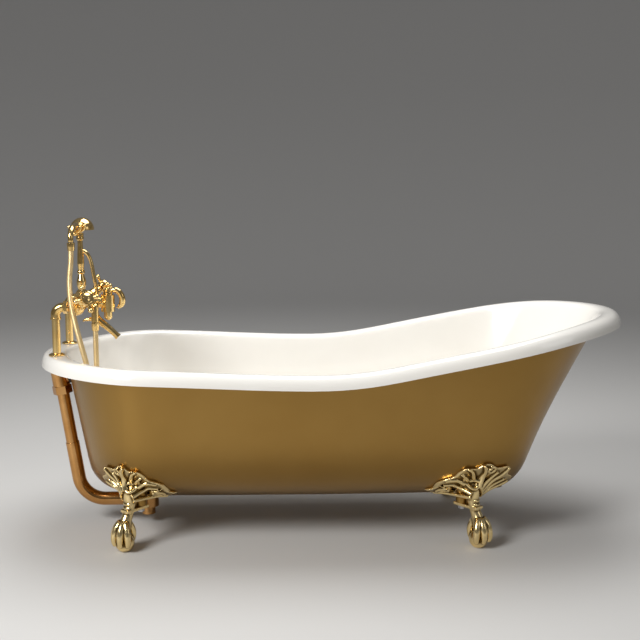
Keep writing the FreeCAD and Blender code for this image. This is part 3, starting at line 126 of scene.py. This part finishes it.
class NodeBench:
    """A node tree with short calls to add and join nodes."""

    def __init__(self, tree: bpy.types.NodeTree) -> None:
        """Keeps the tree that the calls work on."""
        self.tree = tree

    def add(self, kind: str, **settings: object) -> bpy.types.Node:
        """Adds a node.

        Args:
            kind: Blender's node type.
            settings: Socket values by name, with spaces as underscores, or node properties.
        Returns:
            The new node.
        """
        node = self.tree.nodes.new(kind)
        for name, value in settings.items():
            socket = node.inputs.get(name.replace("_", " "))
            if socket is not None:
                socket.default_value = value
            else:
                setattr(node, name, value)
        return node

    def join(self, source: bpy.types.NodeSocket, target: bpy.types.NodeSocket) -> None:
        """Links an output to an input."""
        self.tree.links.new(source, target)

    def noise(self, scale: bpy.types.NodeSocket, **settings: float) -> bpy.types.NodeSocket:
        """Adds a noise on Object coordinates.

        Args:
            scale: Value that sets its scale.
            settings: Its other socket values by name.
        Returns:
            The noise.
        """
        place = self.add("ShaderNodeTexCoord")
        noise = self.add("ShaderNodeTexNoise", **settings)
        self.join(place.outputs["Object"], noise.inputs["Vector"])
        self.join(scale, noise.inputs["Scale"])
        return noise.outputs["Fac"]

    def spread(self, noise: bpy.types.NodeSocket) -> bpy.types.NodeSocket:
        """Stretches the middle of a noise over the whole range from 0 to 1.

        Args:
            noise: The noise.
        Returns:
            The stretched value.
        """
        ramp = self.add("ShaderNodeMapRange", From_Min=NOISE_LOW, From_Max=NOISE_HIGH)
        self.join(noise, ramp.inputs["Value"])
        return ramp.outputs["Result"]


def cast_surface_group() -> bpy.types.NodeTree:
    """Group that gives every finish its mottle, haze and grain, built once.

    Returns:
        A group with inputs Mottle Scale and Grain Scale, and outputs Mottle, Haze and Grain.
    """
    name = "cast_surface"
    if name in bpy.data.node_groups:
        return bpy.data.node_groups[name]
    tree = bpy.data.node_groups.new(name, "ShaderNodeTree")
    for label in ("Mottle Scale", "Grain Scale"):
        tree.interface.new_socket(name=label, in_out="INPUT", socket_type="NodeSocketFloat")
    for label in ("Mottle", "Haze", "Grain"):
        tree.interface.new_socket(name=label, in_out="OUTPUT", socket_type="NodeSocketFloat")
    bench = NodeBench(tree)
    given = bench.add("NodeGroupInput")
    result = bench.add("NodeGroupOutput")
    mottle = bench.noise(given.outputs["Mottle Scale"], Detail=4.0, Roughness=0.6)
    bench.join(bench.spread(mottle), result.inputs["Mottle"])
    finer = bench.add("ShaderNodeMath", operation="MULTIPLY")
    finer.inputs[1].default_value = HAZE_FINER
    bench.join(given.outputs["Mottle Scale"], finer.inputs[0])
    haze = bench.noise(finer.outputs["Value"], Detail=6.0, Roughness=0.65, Distortion=0.6)
    bench.join(bench.spread(haze), result.inputs["Haze"])
    grain = bench.noise(given.outputs["Grain Scale"], Detail=3.0, Roughness=0.5)
    bench.join(grain, result.inputs["Grain"])
    return tree


@dataclass(frozen=True)
class Finish:
    """A finish with its two colours, gloss range and grain."""

    slot: Slot
    light: Colour
    dark: Colour
    metallic: float
    smooth: float
    rough: float
    mottle_scale: float
    grain_scale: float
    grain_depth: float
    coat: float = 0.0
    coat_roughness: float = 0.1
    relief: Relief = Relief.GRAIN

    def material(self) -> bpy.types.Material:
        """Makes the finish's material, once.

        Returns:
            The material.
        """
        name = f"{self.slot.value}_finish"
        if name in bpy.data.materials:
            return bpy.data.materials[name]
        made = bpy.data.materials.new(name)
        made.use_nodes = True
        made.node_tree.nodes.clear()
        bench = NodeBench(made.node_tree)
        shader = bench.add(
            "ShaderNodeBsdfPrincipled", Metallic=self.metallic, Coat_Weight=self.coat,
            Coat_Roughness=self.coat_roughness)
        result = bench.add("ShaderNodeOutputMaterial")
        bench.join(shader.outputs["BSDF"], result.inputs["Surface"])
        surface = bench.add("ShaderNodeGroup", node_tree=cast_surface_group())
        surface.inputs["Mottle Scale"].default_value = self.mottle_scale
        surface.inputs["Grain Scale"].default_value = self.grain_scale
        tone = bench.add("ShaderNodeMix", data_type="RGBA")
        tone.inputs[MIX_DARK].default_value = (*self.dark, 1.0)
        tone.inputs[MIX_LIGHT].default_value = (*self.light, 1.0)
        share = surface.outputs["Mottle"]
        # The hollow mark paints shade: the dark colour fills the hollows of the carving.
        if self.relief is Relief.PAINTED_SHADE:
            hollow = bench.add("ShaderNodeAttribute", attribute_name="cavity")
            share = hollow.outputs["Fac"]
        bench.join(share, tone.inputs["Factor"])
        bench.join(tone.outputs[MIX_RESULT], shader.inputs["Base Color"])
        gloss = bench.add("ShaderNodeMapRange", To_Min=self.smooth, To_Max=self.rough)
        bench.join(surface.outputs["Haze"], gloss.inputs["Value"])
        bench.join(gloss.outputs["Result"], shader.inputs["Roughness"])
        bump = bench.add("ShaderNodeBump", Strength=0.5, Distance=self.grain_depth)
        bench.join(surface.outputs["Grain"], bump.inputs["Height"])
        bench.join(bump.outputs["Normal"], shader.inputs["Normal"])
        return made


GOLD_PAINT = Finish(
    Slot.GOLD_PAINT, light=(0.36, 0.213, 0.058), dark=(0.33, 0.19, 0.049), metallic=1.0,
    smooth=0.30, rough=0.36, mottle_scale=2.5, grain_scale=900.0, grain_depth=0.00002,
    coat=0.08, coat_roughness=0.25)
WHITE_ENAMEL = Finish(
    Slot.WHITE_ENAMEL, light=(0.90, 0.875, 0.82), dark=(0.875, 0.845, 0.785), metallic=0.0,
    smooth=0.10, rough=0.16, mottle_scale=3.0, grain_scale=60.0, grain_depth=0.00003,
    coat=0.6, coat_roughness=0.04)
POLISHED_GOLD = Finish(
    Slot.POLISHED_GOLD, light=(0.93, 0.68, 0.30), dark=(0.86, 0.58, 0.21), metallic=1.0,
    smooth=0.10, rough=0.20, mottle_scale=24.0, grain_scale=700.0, grain_depth=0.000008)
# Gold of the claw feet; its dark colour is painted shade, laid into the carving's hollows by the hollow mark.
GOLD_IRON = Finish(
    Slot.GOLD_IRON, light=(0.90, 0.70, 0.35), dark=(0.13, 0.075, 0.02), metallic=1.0,
    smooth=0.16, rough=0.27, mottle_scale=40.0, grain_scale=500.0, grain_depth=0.00006,
    relief=Relief.PAINTED_SHADE)
# Brass of the waste tubes with a copper tint of its own, made darker and redder as painted shade for the
# shadow they sit in.
COPPER_BRASS_AND_SHADE = Finish(
    Slot.COPPER_BRASS_AND_SHADE, light=(0.60, 0.33, 0.125), dark=(0.50, 0.25, 0.08), metallic=1.0,
    smooth=0.14, rough=0.24, mottle_scale=18.0, grain_scale=600.0, grain_depth=0.00001)
HOSE_GOLD = Finish(
    Slot.HOSE_GOLD, light=(0.80, 0.61, 0.32), dark=(0.72, 0.52, 0.25), metallic=0.75,
    smooth=0.34, rough=0.46, mottle_scale=40.0, grain_scale=500.0, grain_depth=0.00002)
BLACK_RUBBER = Finish(
    Slot.BLACK_RUBBER, light=(0.035, 0.034, 0.033), dark=(0.022, 0.021, 0.02), metallic=0.0,
    smooth=0.55, rough=0.75, mottle_scale=60.0, grain_scale=900.0, grain_depth=0.00003)
ZINC_STEEL = Finish(
    Slot.ZINC_STEEL, light=(0.60, 0.60, 0.61), dark=(0.48, 0.48, 0.50), metallic=1.0,
    smooth=0.30, rough=0.45, mottle_scale=50.0, grain_scale=800.0, grain_depth=0.00002)


def put(name: str, mesh: bpy.types.Mesh, finish: Finish) -> bpy.types.Object:
    """Places a mesh in the scene under a finish.

    Args:
        name: Name of the new piece.
        mesh: Its mesh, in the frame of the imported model.
        finish: The finish that it takes.
    Returns:
        The new piece.
    """
    piece = bpy.data.objects.new(name, mesh)
    bpy.context.scene.collection.objects.link(piece)
    mesh.materials.clear()
    mesh.materials.append(finish.material())
    LOG.info("made %s with %d faces", name, len(mesh.polygons))
    return piece


def merged_copy(node: str) -> bmesh.types.BMesh:
    """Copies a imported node's mesh and joins its loose triangles.

    Args:
        node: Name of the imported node.
    Returns:
        The joined copy.
    """
    shape = bmesh.new()
    shape.from_mesh(frame["nodes"][node].data)
    bmesh.ops.remove_doubles(shape, verts=shape.verts, dist=MERGE)
    bmesh.ops.dissolve_degenerate(shape, edges=shape.edges, dist=MERGE)
    return shape


def settled(shape: bmesh.types.BMesh, name: str) -> bpy.types.Mesh:
    """Turns a worked shape into a mesh and frees the shape.

    Args:
        shape: The worked shape.
        name: Name of the mesh.
    Returns:
        The new mesh.
    """
    mesh = bpy.data.meshes.new(name)
    shape.to_mesh(mesh)
    shape.free()
    return mesh


def shade_smooth(shape: bmesh.types.BMesh) -> None:
    """Shades every face of a shape smooth."""
    for face in shape.faces:
        face.smooth = True


def applied_mesh(piece: bpy.types.Object) -> bpy.types.Mesh:
    """Gives a piece's mesh or curve with its modifiers worked in.

    Args:
        piece: The piece, linked to the scene.
    Returns:
        A new mesh.
    """
    bpy.context.view_layer.update()
    depsgraph = bpy.context.evaluated_depsgraph_get()
    return bpy.data.meshes.new_from_object(piece.evaluated_get(depsgraph))


def spline_mesh(points: Sequence[Vector], radii: Sequence[float]) -> bpy.types.Mesh:
    """Mesh of a NURBS line drawn by control points, bare or as a tapered round rod.

    Args:
        points: Control points.
        radii: Radius at each point, or none for a bare line.
    Returns:
        The line or rod as a mesh.
    """
    curve = bpy.data.curves.new("rod_line", "CURVE")
    curve.dimensions = "3D"
    spline = curve.splines.new("NURBS")
    spline.points.add(len(points) - 1)
    for number, point in enumerate(points):
        spline.points[number].co = (*point, 1.0)
        spline.points[number].radius = radii[number] if radii else 1.0
    spline.order_u = SPLINE_ORDER
    spline.use_endpoint_u = True
    spline.resolution_u = ROD_STEPS if radii else LINE_STEPS
    if radii:
        curve.bevel_depth = 1.0
        curve.bevel_resolution = ROD_SIDES
        curve.use_fill_caps = True
    holder = bpy.data.objects.new("rod_line", curve)
    bpy.context.scene.collection.objects.link(holder)
    mesh = applied_mesh(holder)
    bpy.data.objects.remove(holder)
    bpy.data.curves.remove(curve)
    return mesh


@dataclass
class SubAssembly:
    """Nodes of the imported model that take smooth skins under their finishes."""

    skins: Dict[str, Finish]
    crease: float = math.radians(32.0)
    edge: float = 0.0003
    edge_segments: int = 2

    def skin(self, node: str, finish: Finish) -> None:
        """Covers one node with a merged copy that is smooth between its sharp edges.

        Args:
            node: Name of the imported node.
            finish: The finish of the copy.
        """
        shape = merged_copy(node)
        shade_smooth(shape)
        for seam in shape.edges:
            seam.smooth = len(seam.link_faces) == 2 and seam.calc_face_angle() < self.crease
        piece = put(f"{node}_skin", settled(shape, f"{node}_skin"), finish)
        if self.edge:
            bevel = piece.modifiers.new("soft_edges", "BEVEL")
            bevel.width = self.edge
            bevel.segments = self.edge_segments
            bevel.limit_method = "ANGLE"
            bevel.angle_limit = self.crease
            bevel.harden_normals = True
        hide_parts(node)
        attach(piece, frame["nodes"][node]["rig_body"])

    def dress(self) -> None:
        """Covers every node of the sub-assembly."""
        for node, finish in self.skins.items():
            self.skin(node, finish)


@dataclass(frozen=True)
class LeafRod:
    """One carved rod of the leaf: path across and up the leaf, radius at its root and tip, and lift."""

    path: Sequence[Tuple[float, float]]
    root: float
    tip: float
    lift: float = 0.0


def curl(across: float, up: float, radius: float, start: float, turn: float) -> List[Tuple[float, float]]:
    """Points of a scroll that winds inwards.

    Args:
        across: Middle of the scroll, sideways.
        up: Middle of the scroll, in height.
        radius: Radius where it starts.
        start: Angle where it starts, in degrees.
        turn: Angle that it winds through, in degrees.
    Returns:
        Points across and up the leaf.
    """
    steps = max(CURL_LEAST_STEPS, int(abs(turn) / CURL_STEP))
    found = []
    for step in range(steps + 1):
        share = step / steps
        angle = math.radians(start + turn * share)
        reach = radius * (1.0 - CURL_CLOSING * share)
        found.append((across + reach * math.cos(angle), up + reach * math.sin(angle)))
    return found


LEAF_RODS = (
    LeafRod([(-0.016, 0.150), (-0.046, 0.168), (-0.076, 0.188), (-0.092, 0.208)], 0.0080, 0.0036, 0.003),
    LeafRod([(-0.014, 0.158), (-0.036, 0.184), (-0.058, 0.208), (-0.068, 0.228)], 0.0076, 0.0036, 0.003),
    LeafRod([(-0.010, 0.165), (-0.024, 0.192), (-0.038, 0.218), (-0.042, 0.238)], 0.0072, 0.0036, 0.003),
    LeafRod([(-0.018, 0.143), (-0.050, 0.152), (-0.078, 0.164), (-0.098, 0.178)], 0.0076, 0.0036, 0.003),
    LeafRod([(-0.002, 0.172), (-0.006, 0.200), (-0.002, 0.226), (0.010, 0.242)], 0.0076, 0.0042, 0.004),
    LeafRod(curl(-0.014, 0.226, 0.012, 60.0, 400.0), 0.0042, 0.0034, 0.003),
    LeafRod(curl(0.010, 0.178, 0.018, 200.0, -420.0), 0.0058, 0.0040, 0.004),
    LeafRod([(0.012, 0.198), (0.022, 0.214), (0.032, 0.226), (0.042, 0.230)], 0.0066, 0.0032, 0.003),
    LeafRod([(0.022, 0.192), (0.036, 0.206), (0.048, 0.212), (0.060, 0.208)], 0.0068, 0.0032, 0.003),
    LeafRod([(0.026, 0.180), (0.042, 0.192), (0.056, 0.194), (0.068, 0.187)], 0.0066, 0.0032, 0.003),
    LeafRod(
        [(0.018, 0.154), (0.030, 0.170), (0.046, 0.177), (0.060, 0.171), (0.072, 0.160)],
        0.0062, 0.003, 0.003),
    LeafRod(curl(0.046, 0.152, 0.014, 150.0, -430.0), 0.0048, 0.0034, 0.003),
    LeafRod([(0.018, 0.143), (0.028, 0.140), (0.040, 0.137), (0.052, 0.140)], 0.0056, 0.0034, 0.002),
    LeafRod([(-0.011, 0.122), (-0.005, 0.120), (0.005, 0.120), (0.011, 0.122)], 0.0034, 0.0032),
    LeafRod([(-0.011, 0.134), (-0.005, 0.132), (0.005, 0.132), (0.011, 0.134)], 0.0034, 0.0032),
)


def paint_hollow_shade(
        mesh: bpy.types.Mesh, passes: int = 28, depth: float = 0.0009, level: float = 0.62) -> None:
    """Writes how raised each point is, from 0 in a hollow to 1 on a ridge, as the mark by which the feet's
    finish paints shade into the hollows.

    Args:
        mesh: The mesh to mark.
        passes: How far the comparison with the smoothed shape reaches.
        depth: Height from a full hollow to a full ridge.
        level: Mark of a point that is neither raised nor sunk.
    """
    shape = bmesh.new()
    shape.from_mesh(mesh)
    shape.normal_update()
    places = [vert.co.copy() for vert in shape.verts]
    normals = [vert.normal.copy() for vert in shape.verts]
    for _ in range(passes):
        bmesh.ops.smooth_vert(
            shape, verts=shape.verts, factor=0.5, use_axis_x=True, use_axis_y=True, use_axis_z=True)
    shape.verts.ensure_lookup_table()
    raised = []
    for number, vert in enumerate(shape.verts):
        rise = (places[number] - vert.co).dot(normals[number])
        raised.append(min(1.0, max(0.0, level + rise / depth)))
    shape.free()
    # The mark that the feet's finish uses to paint shade into hollows.
    attribute = mesh.attributes.new("cavity", "FLOAT", "POINT")
    attribute.data.foreach_set("value", raised)


@dataclass
class ClawFoot:
    """A near claw foot and its mirror on the far side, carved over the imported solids."""

    name: str
    x: float
    way: float
    y: float = -0.240
    turn: float = math.radians(40.0)
    stand_off: float = 0.3
    grain: float = 0.0016
    wear: float = 0.5
    passes: int = 3
    ground: BVHTree = field(init=False)

    def __post_init__(self) -> None:
        """Keeps the surface that the carving lies on."""
        shape = merged_copy(f"{self.name}_near_foot")
        self.ground = BVHTree.FromBMesh(shape)
        shape.free()

    def outward(self) -> Vector:
        """Direction that the foot faces."""
        return Vector((self.way * math.sin(self.turn), -math.cos(self.turn), 0.0))

    def sideways(self) -> Vector:
        """Direction across the foot, towards the middle of the bath."""
        return Vector((math.cos(self.turn), self.way * math.sin(self.turn), 0.0)) * -self.way

    def on_leaf(self, across: float, up: float, lift: float) -> Optional[Vector]:
        """Finds the point of the foot's face at a place across and up.

        Args:
            across: Distance sideways from the foot's middle.
            up: Height over the floor.
            lift: Distance off the face.
        Returns:
            The point, or None where the face doesn't reach.
        """
        start = Vector((self.x, self.y, up)) + self.sideways() * across + self.outward() * self.stand_off
        hit = self.ground.ray_cast(start, -self.outward())[0]
        return None if hit is None else hit + self.outward() * lift

    def carve(self, shape: bmesh.types.BMesh) -> None:
        """Lays the leaf's rods over the face of the foot.

        Args:
            shape: The foot's shape, which takes the rods.
        """
        for rod in LEAF_RODS:
            spots = [self.on_leaf(across, up, rod.lift) for across, up in rod.path]
            points = [spot for spot in spots if spot is not None]
            if len(points) < SPLINE_ORDER:
                continue
            count = len(points) - 1
            radii = [rod.root + (rod.tip - rod.root) * step / count for step in range(count + 1)]
            mesh = spline_mesh(points, radii)
            shape.from_mesh(mesh)
            bpy.data.meshes.remove(mesh)

    def cast(self) -> bpy.types.Mesh:
        """Joins the solid and its carving into one skin with soft hollows.

        Returns:
            The near foot's mesh.
        """
        shape = merged_copy(f"{self.name}_near_foot")
        self.carve(shape)
        mesh = settled(shape, f"{self.name}_foot_rough")
        rough = bpy.data.objects.new(mesh.name, mesh)
        bpy.context.scene.collection.objects.link(rough)
        remesh = rough.modifiers.new("one_skin", "REMESH")
        remesh.mode = "VOXEL"
        remesh.voxel_size = self.grain
        remesh.use_smooth_shade = True
        smooth = rough.modifiers.new("worn", "SMOOTH")
        smooth.factor = self.wear
        smooth.iterations = self.passes
        made = applied_mesh(rough)
        bpy.data.objects.remove(rough)
        bpy.data.meshes.remove(mesh)
        return made

    def build(self) -> None:
        """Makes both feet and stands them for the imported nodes."""
        near = self.cast()
        shape = bmesh.new()
        shape.from_mesh(near)
        bmesh.ops.transform(shape, matrix=Matrix.Scale(-1.0, 4, (0.0, 1.0, 0.0)), verts=shape.verts)
        bmesh.ops.reverse_faces(shape, faces=shape.faces)
        far = settled(shape, f"{self.name}_far_foot_skin")
        for side, mesh in (("near", near), ("far", far)):
            # Marks the hollows where the feet's finish paints shade.
            paint_hollow_shade(mesh)
            mesh.name = f"{self.name}_{side}_foot_skin"
            piece = put(mesh.name, mesh, GOLD_IRON)
            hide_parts(f"{self.name}_{side}_foot")
            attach(piece, "bath")


@dataclass
class ShowerHose:
    """The hand shower's hose: a ribbed tube along one smooth line."""

    route: Sequence[Point] = (
        (-0.739071, -0.087946, 0.8487), (-0.739071, -0.087946, 0.8027), (-0.7448, -0.1040, 0.7451),
        (-0.7369, -0.1362, 0.6840), (-0.7220, -0.1542, 0.6250), (-0.7048, -0.1599, 0.5599),
        (-0.6872, -0.1599, 0.4899), (-0.6621, -0.1582, 0.4200), (-0.6309, -0.1542, 0.3522),
        (-0.5992, -0.1498, 0.2941), (-0.5772, -0.1388, 0.2431), (-0.5772, -0.1150, 0.1982),
        (-0.6018, -0.0851, 0.1740), (-0.6379, -0.0609, 0.1841), (-0.6608, -0.0490, 0.2268),
        (-0.6740, -0.0442, 0.2972), (-0.6819, -0.0420, 0.3852), (-0.6846, -0.0424, 0.4701),
        (-0.6850, -0.0420, 0.5502), (-0.6850, -0.0420, 0.6140))
    diameter: float = 0.0156
    length: float = 1.222
    rib: float = 0.0034
    rib_depth: float = 0.00045
    rib_rings: int = 4
    low_rings: Sequence[int] = (0, 1)
    sides: int = 18

    def line(self) -> List[Vector]:
        """Points read from the route's spline, in order along it.

        Returns:
            The points.
        """
        mesh = spline_mesh([Vector(point) for point in self.route], [])
        found = [vert.co.copy() for vert in mesh.vertices]
        bpy.data.meshes.remove(mesh)
        return found

    def stations(self, line: Sequence[Vector]) -> List[Tuple[Vector, Vector]]:
        """Places of the rings along the line, each with its direction.

        Args:
            line: Points along the line.
        Returns:
            Pairs of place and direction.
        """
        found = []
        due = 0.0
        run = 0.0
        for start, end in zip(line, line[1:]):
            step = (end - start).length
            while due <= run + step:
                found.append((start.lerp(end, (due - run) / step), (end - start).normalized()))
                due += self.rib / self.rib_rings
            run += step
        return found

    def tube(self, line: Sequence[Vector]) -> bpy.types.Mesh:
        """Draws a ring along the line, swelling and narrowing it at each rib.

        Args:
            line: Points along the line.
        Returns:
            The ribbed tube.
        """
        shape = bmesh.new()
        places = self.stations(line)
        at, way = places[0]
        turn = way.to_track_quat("Z", "Y")
        spot = Matrix.Translation(at) @ turn.to_matrix().to_4x4()
        bmesh.ops.create_circle(
            shape, cap_ends=True, segments=self.sides, radius=self.diameter / 2 - self.rib_depth, matrix=spot)
        ring = [seam for seam in shape.edges if seam.is_boundary]
        for number, (place, way) in enumerate(places[1:], 1):
            last_place, last_way = places[number - 1]
            grown = bmesh.ops.extrude_edge_only(shape, edges=ring)["geom"]
            verts = [item for item in grown if isinstance(item, bmesh.types.BMVert)]
            ring = [item for item in grown if isinstance(item, bmesh.types.BMEdge)]
            bend = last_way.rotation_difference(way).to_matrix()
            bmesh.ops.rotate(shape, verts=verts, cent=last_place, matrix=bend)
            bmesh.ops.translate(shape, verts=verts, vec=place - last_place)
            reach = self.diameter / 2 - self.rib_depth * (number % self.rib_rings in self.low_rings)
            for vert in verts:
                vert.co = place + (vert.co - place).normalized() * reach
        bmesh.ops.holes_fill(shape, edges=ring, sides=0)
        bmesh.ops.recalc_face_normals(shape, faces=shape.faces)
        for face in shape.faces:
            face.smooth = len(face.verts) == 4
        return settled(shape, "shower_hose_tube")

    def build(self) -> None:
        line = self.line()
        piece = put("shower_hose_tube", self.tube(line), HOSE_GOLD)
        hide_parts("shower_hose")
        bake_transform(piece)


@dataclass
class RoseNozzles:
    """The rings of small nozzles under the hand shower's rose, each with its radius and count."""

    rings: Sequence[Tuple[float, int]] = ((0.0, 1), (0.006, 6), (0.012, 12), (0.018, 16))
    radius: float = 0.0011

    def build(self) -> None:
        """Sets the nozzles into the rose plate's face."""
        low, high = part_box("rose_plate")
        middle = (low + high) / 2
        shape = bmesh.new()
        for reach, count in self.rings:
            for number in range(count):
                angle = 2 * math.pi * number / count
                spot = Vector((middle.x + reach * math.cos(angle), middle.y + reach * math.sin(angle), low.z))
                bmesh.ops.create_icosphere(
                    shape, subdivisions=1, radius=self.radius, matrix=Matrix.Translation(spot))
        shade_smooth(shape)
        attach(put("rose_nozzles", settled(shape, "rose_nozzles"), BLACK_RUBBER), "handset")


@dataclass(frozen=True)
class SoftLight:
    """A soft square light: where it hangs, what it faces, its side and its watts."""

    name: str
    place: Point
    target: Point
    across: float
    power: float

    def hang(self) -> None:
        """Hangs the light in the scene."""
        data = bpy.data.lights.new(self.name, "AREA")
        data.shape = "SQUARE"
        data.size = self.across
        data.energy = self.power
        lamp = bpy.data.objects.new(self.name, data)
        lamp.location = self.place
        lamp.rotation_euler = (Vector(self.target) - Vector(self.place)).to_track_quat("-Z", "Y").to_euler()
        bpy.context.scene.collection.objects.link(lamp)


@dataclass
class Studio:
    """Pale floor, soft lights and the photograph's camera."""

    eye: Point = (-0.1975, -3.102, 1.0817)
    elevation: float = 9.29
    azimuth: float = -1.80
    focal_pixels: float = 1068.0
    picture: float = 640.0
    centre: Tuple[float, float] = (297.6, 333.2)
    sensor: float = 36.0
    sight: float = 60.0
    floor_reach: float = 10.0
    floor_cells: int = 60
    floor_flat: float = 5.0
    floor_sweep: float = 0.16
    floor_colour: Colour = (0.62, 0.61, 0.59)
    floor_roughness: float = 0.55
    lights: Sequence[SoftLight] = (
        SoftLight("key", place=(-2.6, -2.5, 2.7), target=(-0.4, 0.0, 0.45), across=1.5, power=140.0),
        SoftLight("fill", place=(3.0, -2.0, 1.9), target=(0.4, 0.0, 0.4), across=1.4, power=7.0),
        SoftLight("top", place=(0.1, 0.5, 3.0), target=(0.0, 0.1, 0.3), across=2.0, power=62.0))
    air_colour: Colour = (0.80, 0.80, 0.82)
    air_strength: float = 0.20

    def camera(self) -> None:
        """Places the camera at the photograph's view."""
        data = bpy.data.cameras.new("photo_view")
        data.sensor_width = self.sensor
        data.lens = self.focal_pixels / self.picture * data.sensor_width
        data.shift_x = (self.picture / 2 - self.centre[0]) / self.picture
        data.shift_y = (self.centre[1] - self.picture / 2) / self.picture
        data.clip_end = self.sight
        camera = bpy.data.objects.new("photo_view", data)
        camera.location = self.eye
        camera.rotation_euler = (math.radians(90.0 - self.elevation), 0.0, math.radians(self.azimuth))
        bpy.context.scene.collection.objects.link(camera)
        bpy.context.scene.camera = camera

    def floor(self) -> None:
        """Lays the pale floor, which sweeps up far from the bath."""
        shape = bmesh.new()
        bmesh.ops.create_grid(
            shape, x_segments=self.floor_cells, y_segments=self.floor_cells, size=self.floor_reach)
        for vert in shape.verts:
            beyond = max(0.0, vert.co.length - self.floor_flat)
            vert.co.z = self.floor_sweep * beyond * beyond
        shade_smooth(shape)
        mesh = settled(shape, "studio_floor")
        made = bpy.data.materials.new("studio_floor_paint")
        made.use_nodes = True
        shader = made.node_tree.nodes["Principled BSDF"]
        shader.inputs["Base Color"].default_value = (*self.floor_colour, 1.0)
        shader.inputs["Roughness"].default_value = self.floor_roughness
        mesh.materials.append(made)
        floor = bpy.data.objects.new("studio_floor", mesh)
        bpy.context.scene.collection.objects.link(floor)

    def air(self) -> None:
        """Sets the pale surroundings and plain tones."""
        world = bpy.data.worlds.new("studio_air")
        world.use_nodes = True
        shader = world.node_tree.nodes["Background"]
        shader.inputs["Color"].default_value = (*self.air_colour, 1.0)
        shader.inputs["Strength"].default_value = self.air_strength
        bpy.context.scene.world = world
        bpy.context.scene.view_settings.view_transform = "Standard"

    def build(self) -> None:
        """Makes the camera, floor, lights and surroundings."""
        self.camera()
        self.floor()
        for light in self.lights:
            light.hang()
        self.air()


def tap_skins() -> Dict[str, Finish]:
    """Finishes of the tap, its risers and the shower column.

    Returns:
        A finish for each node.
    """
    skins = {name: POLISHED_GOLD for name in (
        "tap_body", "diverter_bonnet", "diverter_spindle", "diverter_lever", "diverter_finial", "spout",
        "spout_ring", "shower_column", "column_brace", "shower_cradle", "hand_shower", "rose_plate",
        "hose_top_nut", "hose_bottom_nut")}
    for side in ("hot", "cold"):
        for part in ("riser_pipe", "riser_flange", "lock_nut", "elbow", "union_nut", "bonnet", "spindle",
                     "handle", "cap"):
            skins[f"{side}_{part}"] = POLISHED_GOLD
        skins[f"{side}_deck_washer"] = BLACK_RUBBER
    skins["hose_top_washer"] = BLACK_RUBBER
    skins["hose_bottom_washer"] = BLACK_RUBBER
    return skins


def waste_skins() -> Dict[str, Finish]:
    """Finishes of the drain, overflow and their tubes.

    Returns:
        A finish for each node.
    """
    # The tubes' finish is a copper-tinted brass that also holds painted shade.
    skins = {name: COPPER_BRASS_AND_SHADE for name in (
        "drain_shoe", "shoe_coupling_nut", "waste_bend", "overflow_tube", "overflow_coupling_nut",
        "overflow_elbow")}
    for name in ("drain_flange", "drain_stopper", "overflow_plate", "overflow_screw"):
        skins[name] = POLISHED_GOLD
    skins["drain_gasket"] = BLACK_RUBBER
    skins["overflow_gasket"] = BLACK_RUBBER
    return skins


def main() -> None:
    """Builds the studio and dresses the bath piece by piece."""
    logging.basicConfig(level=logging.INFO)
    Studio().build()
    ShowerHose().build()
    SubAssembly({"tub_shell": GOLD_PAINT, "enamel_lining": WHITE_ENAMEL}, edge=0.0).dress()
    SubAssembly(tap_skins()).dress()
    SubAssembly(waste_skins()).dress()
    SubAssembly({name: ZINC_STEEL for name in ("foot_studs", "foot_washers", "foot_nuts")}).dress()
    ClawFoot("tap", x=-0.590, way=-1.0).build()
    ClawFoot("slipper", x=0.403, way=1.0).build()
    RoseNozzles().build()


if __name__ == "__main__":
    main()
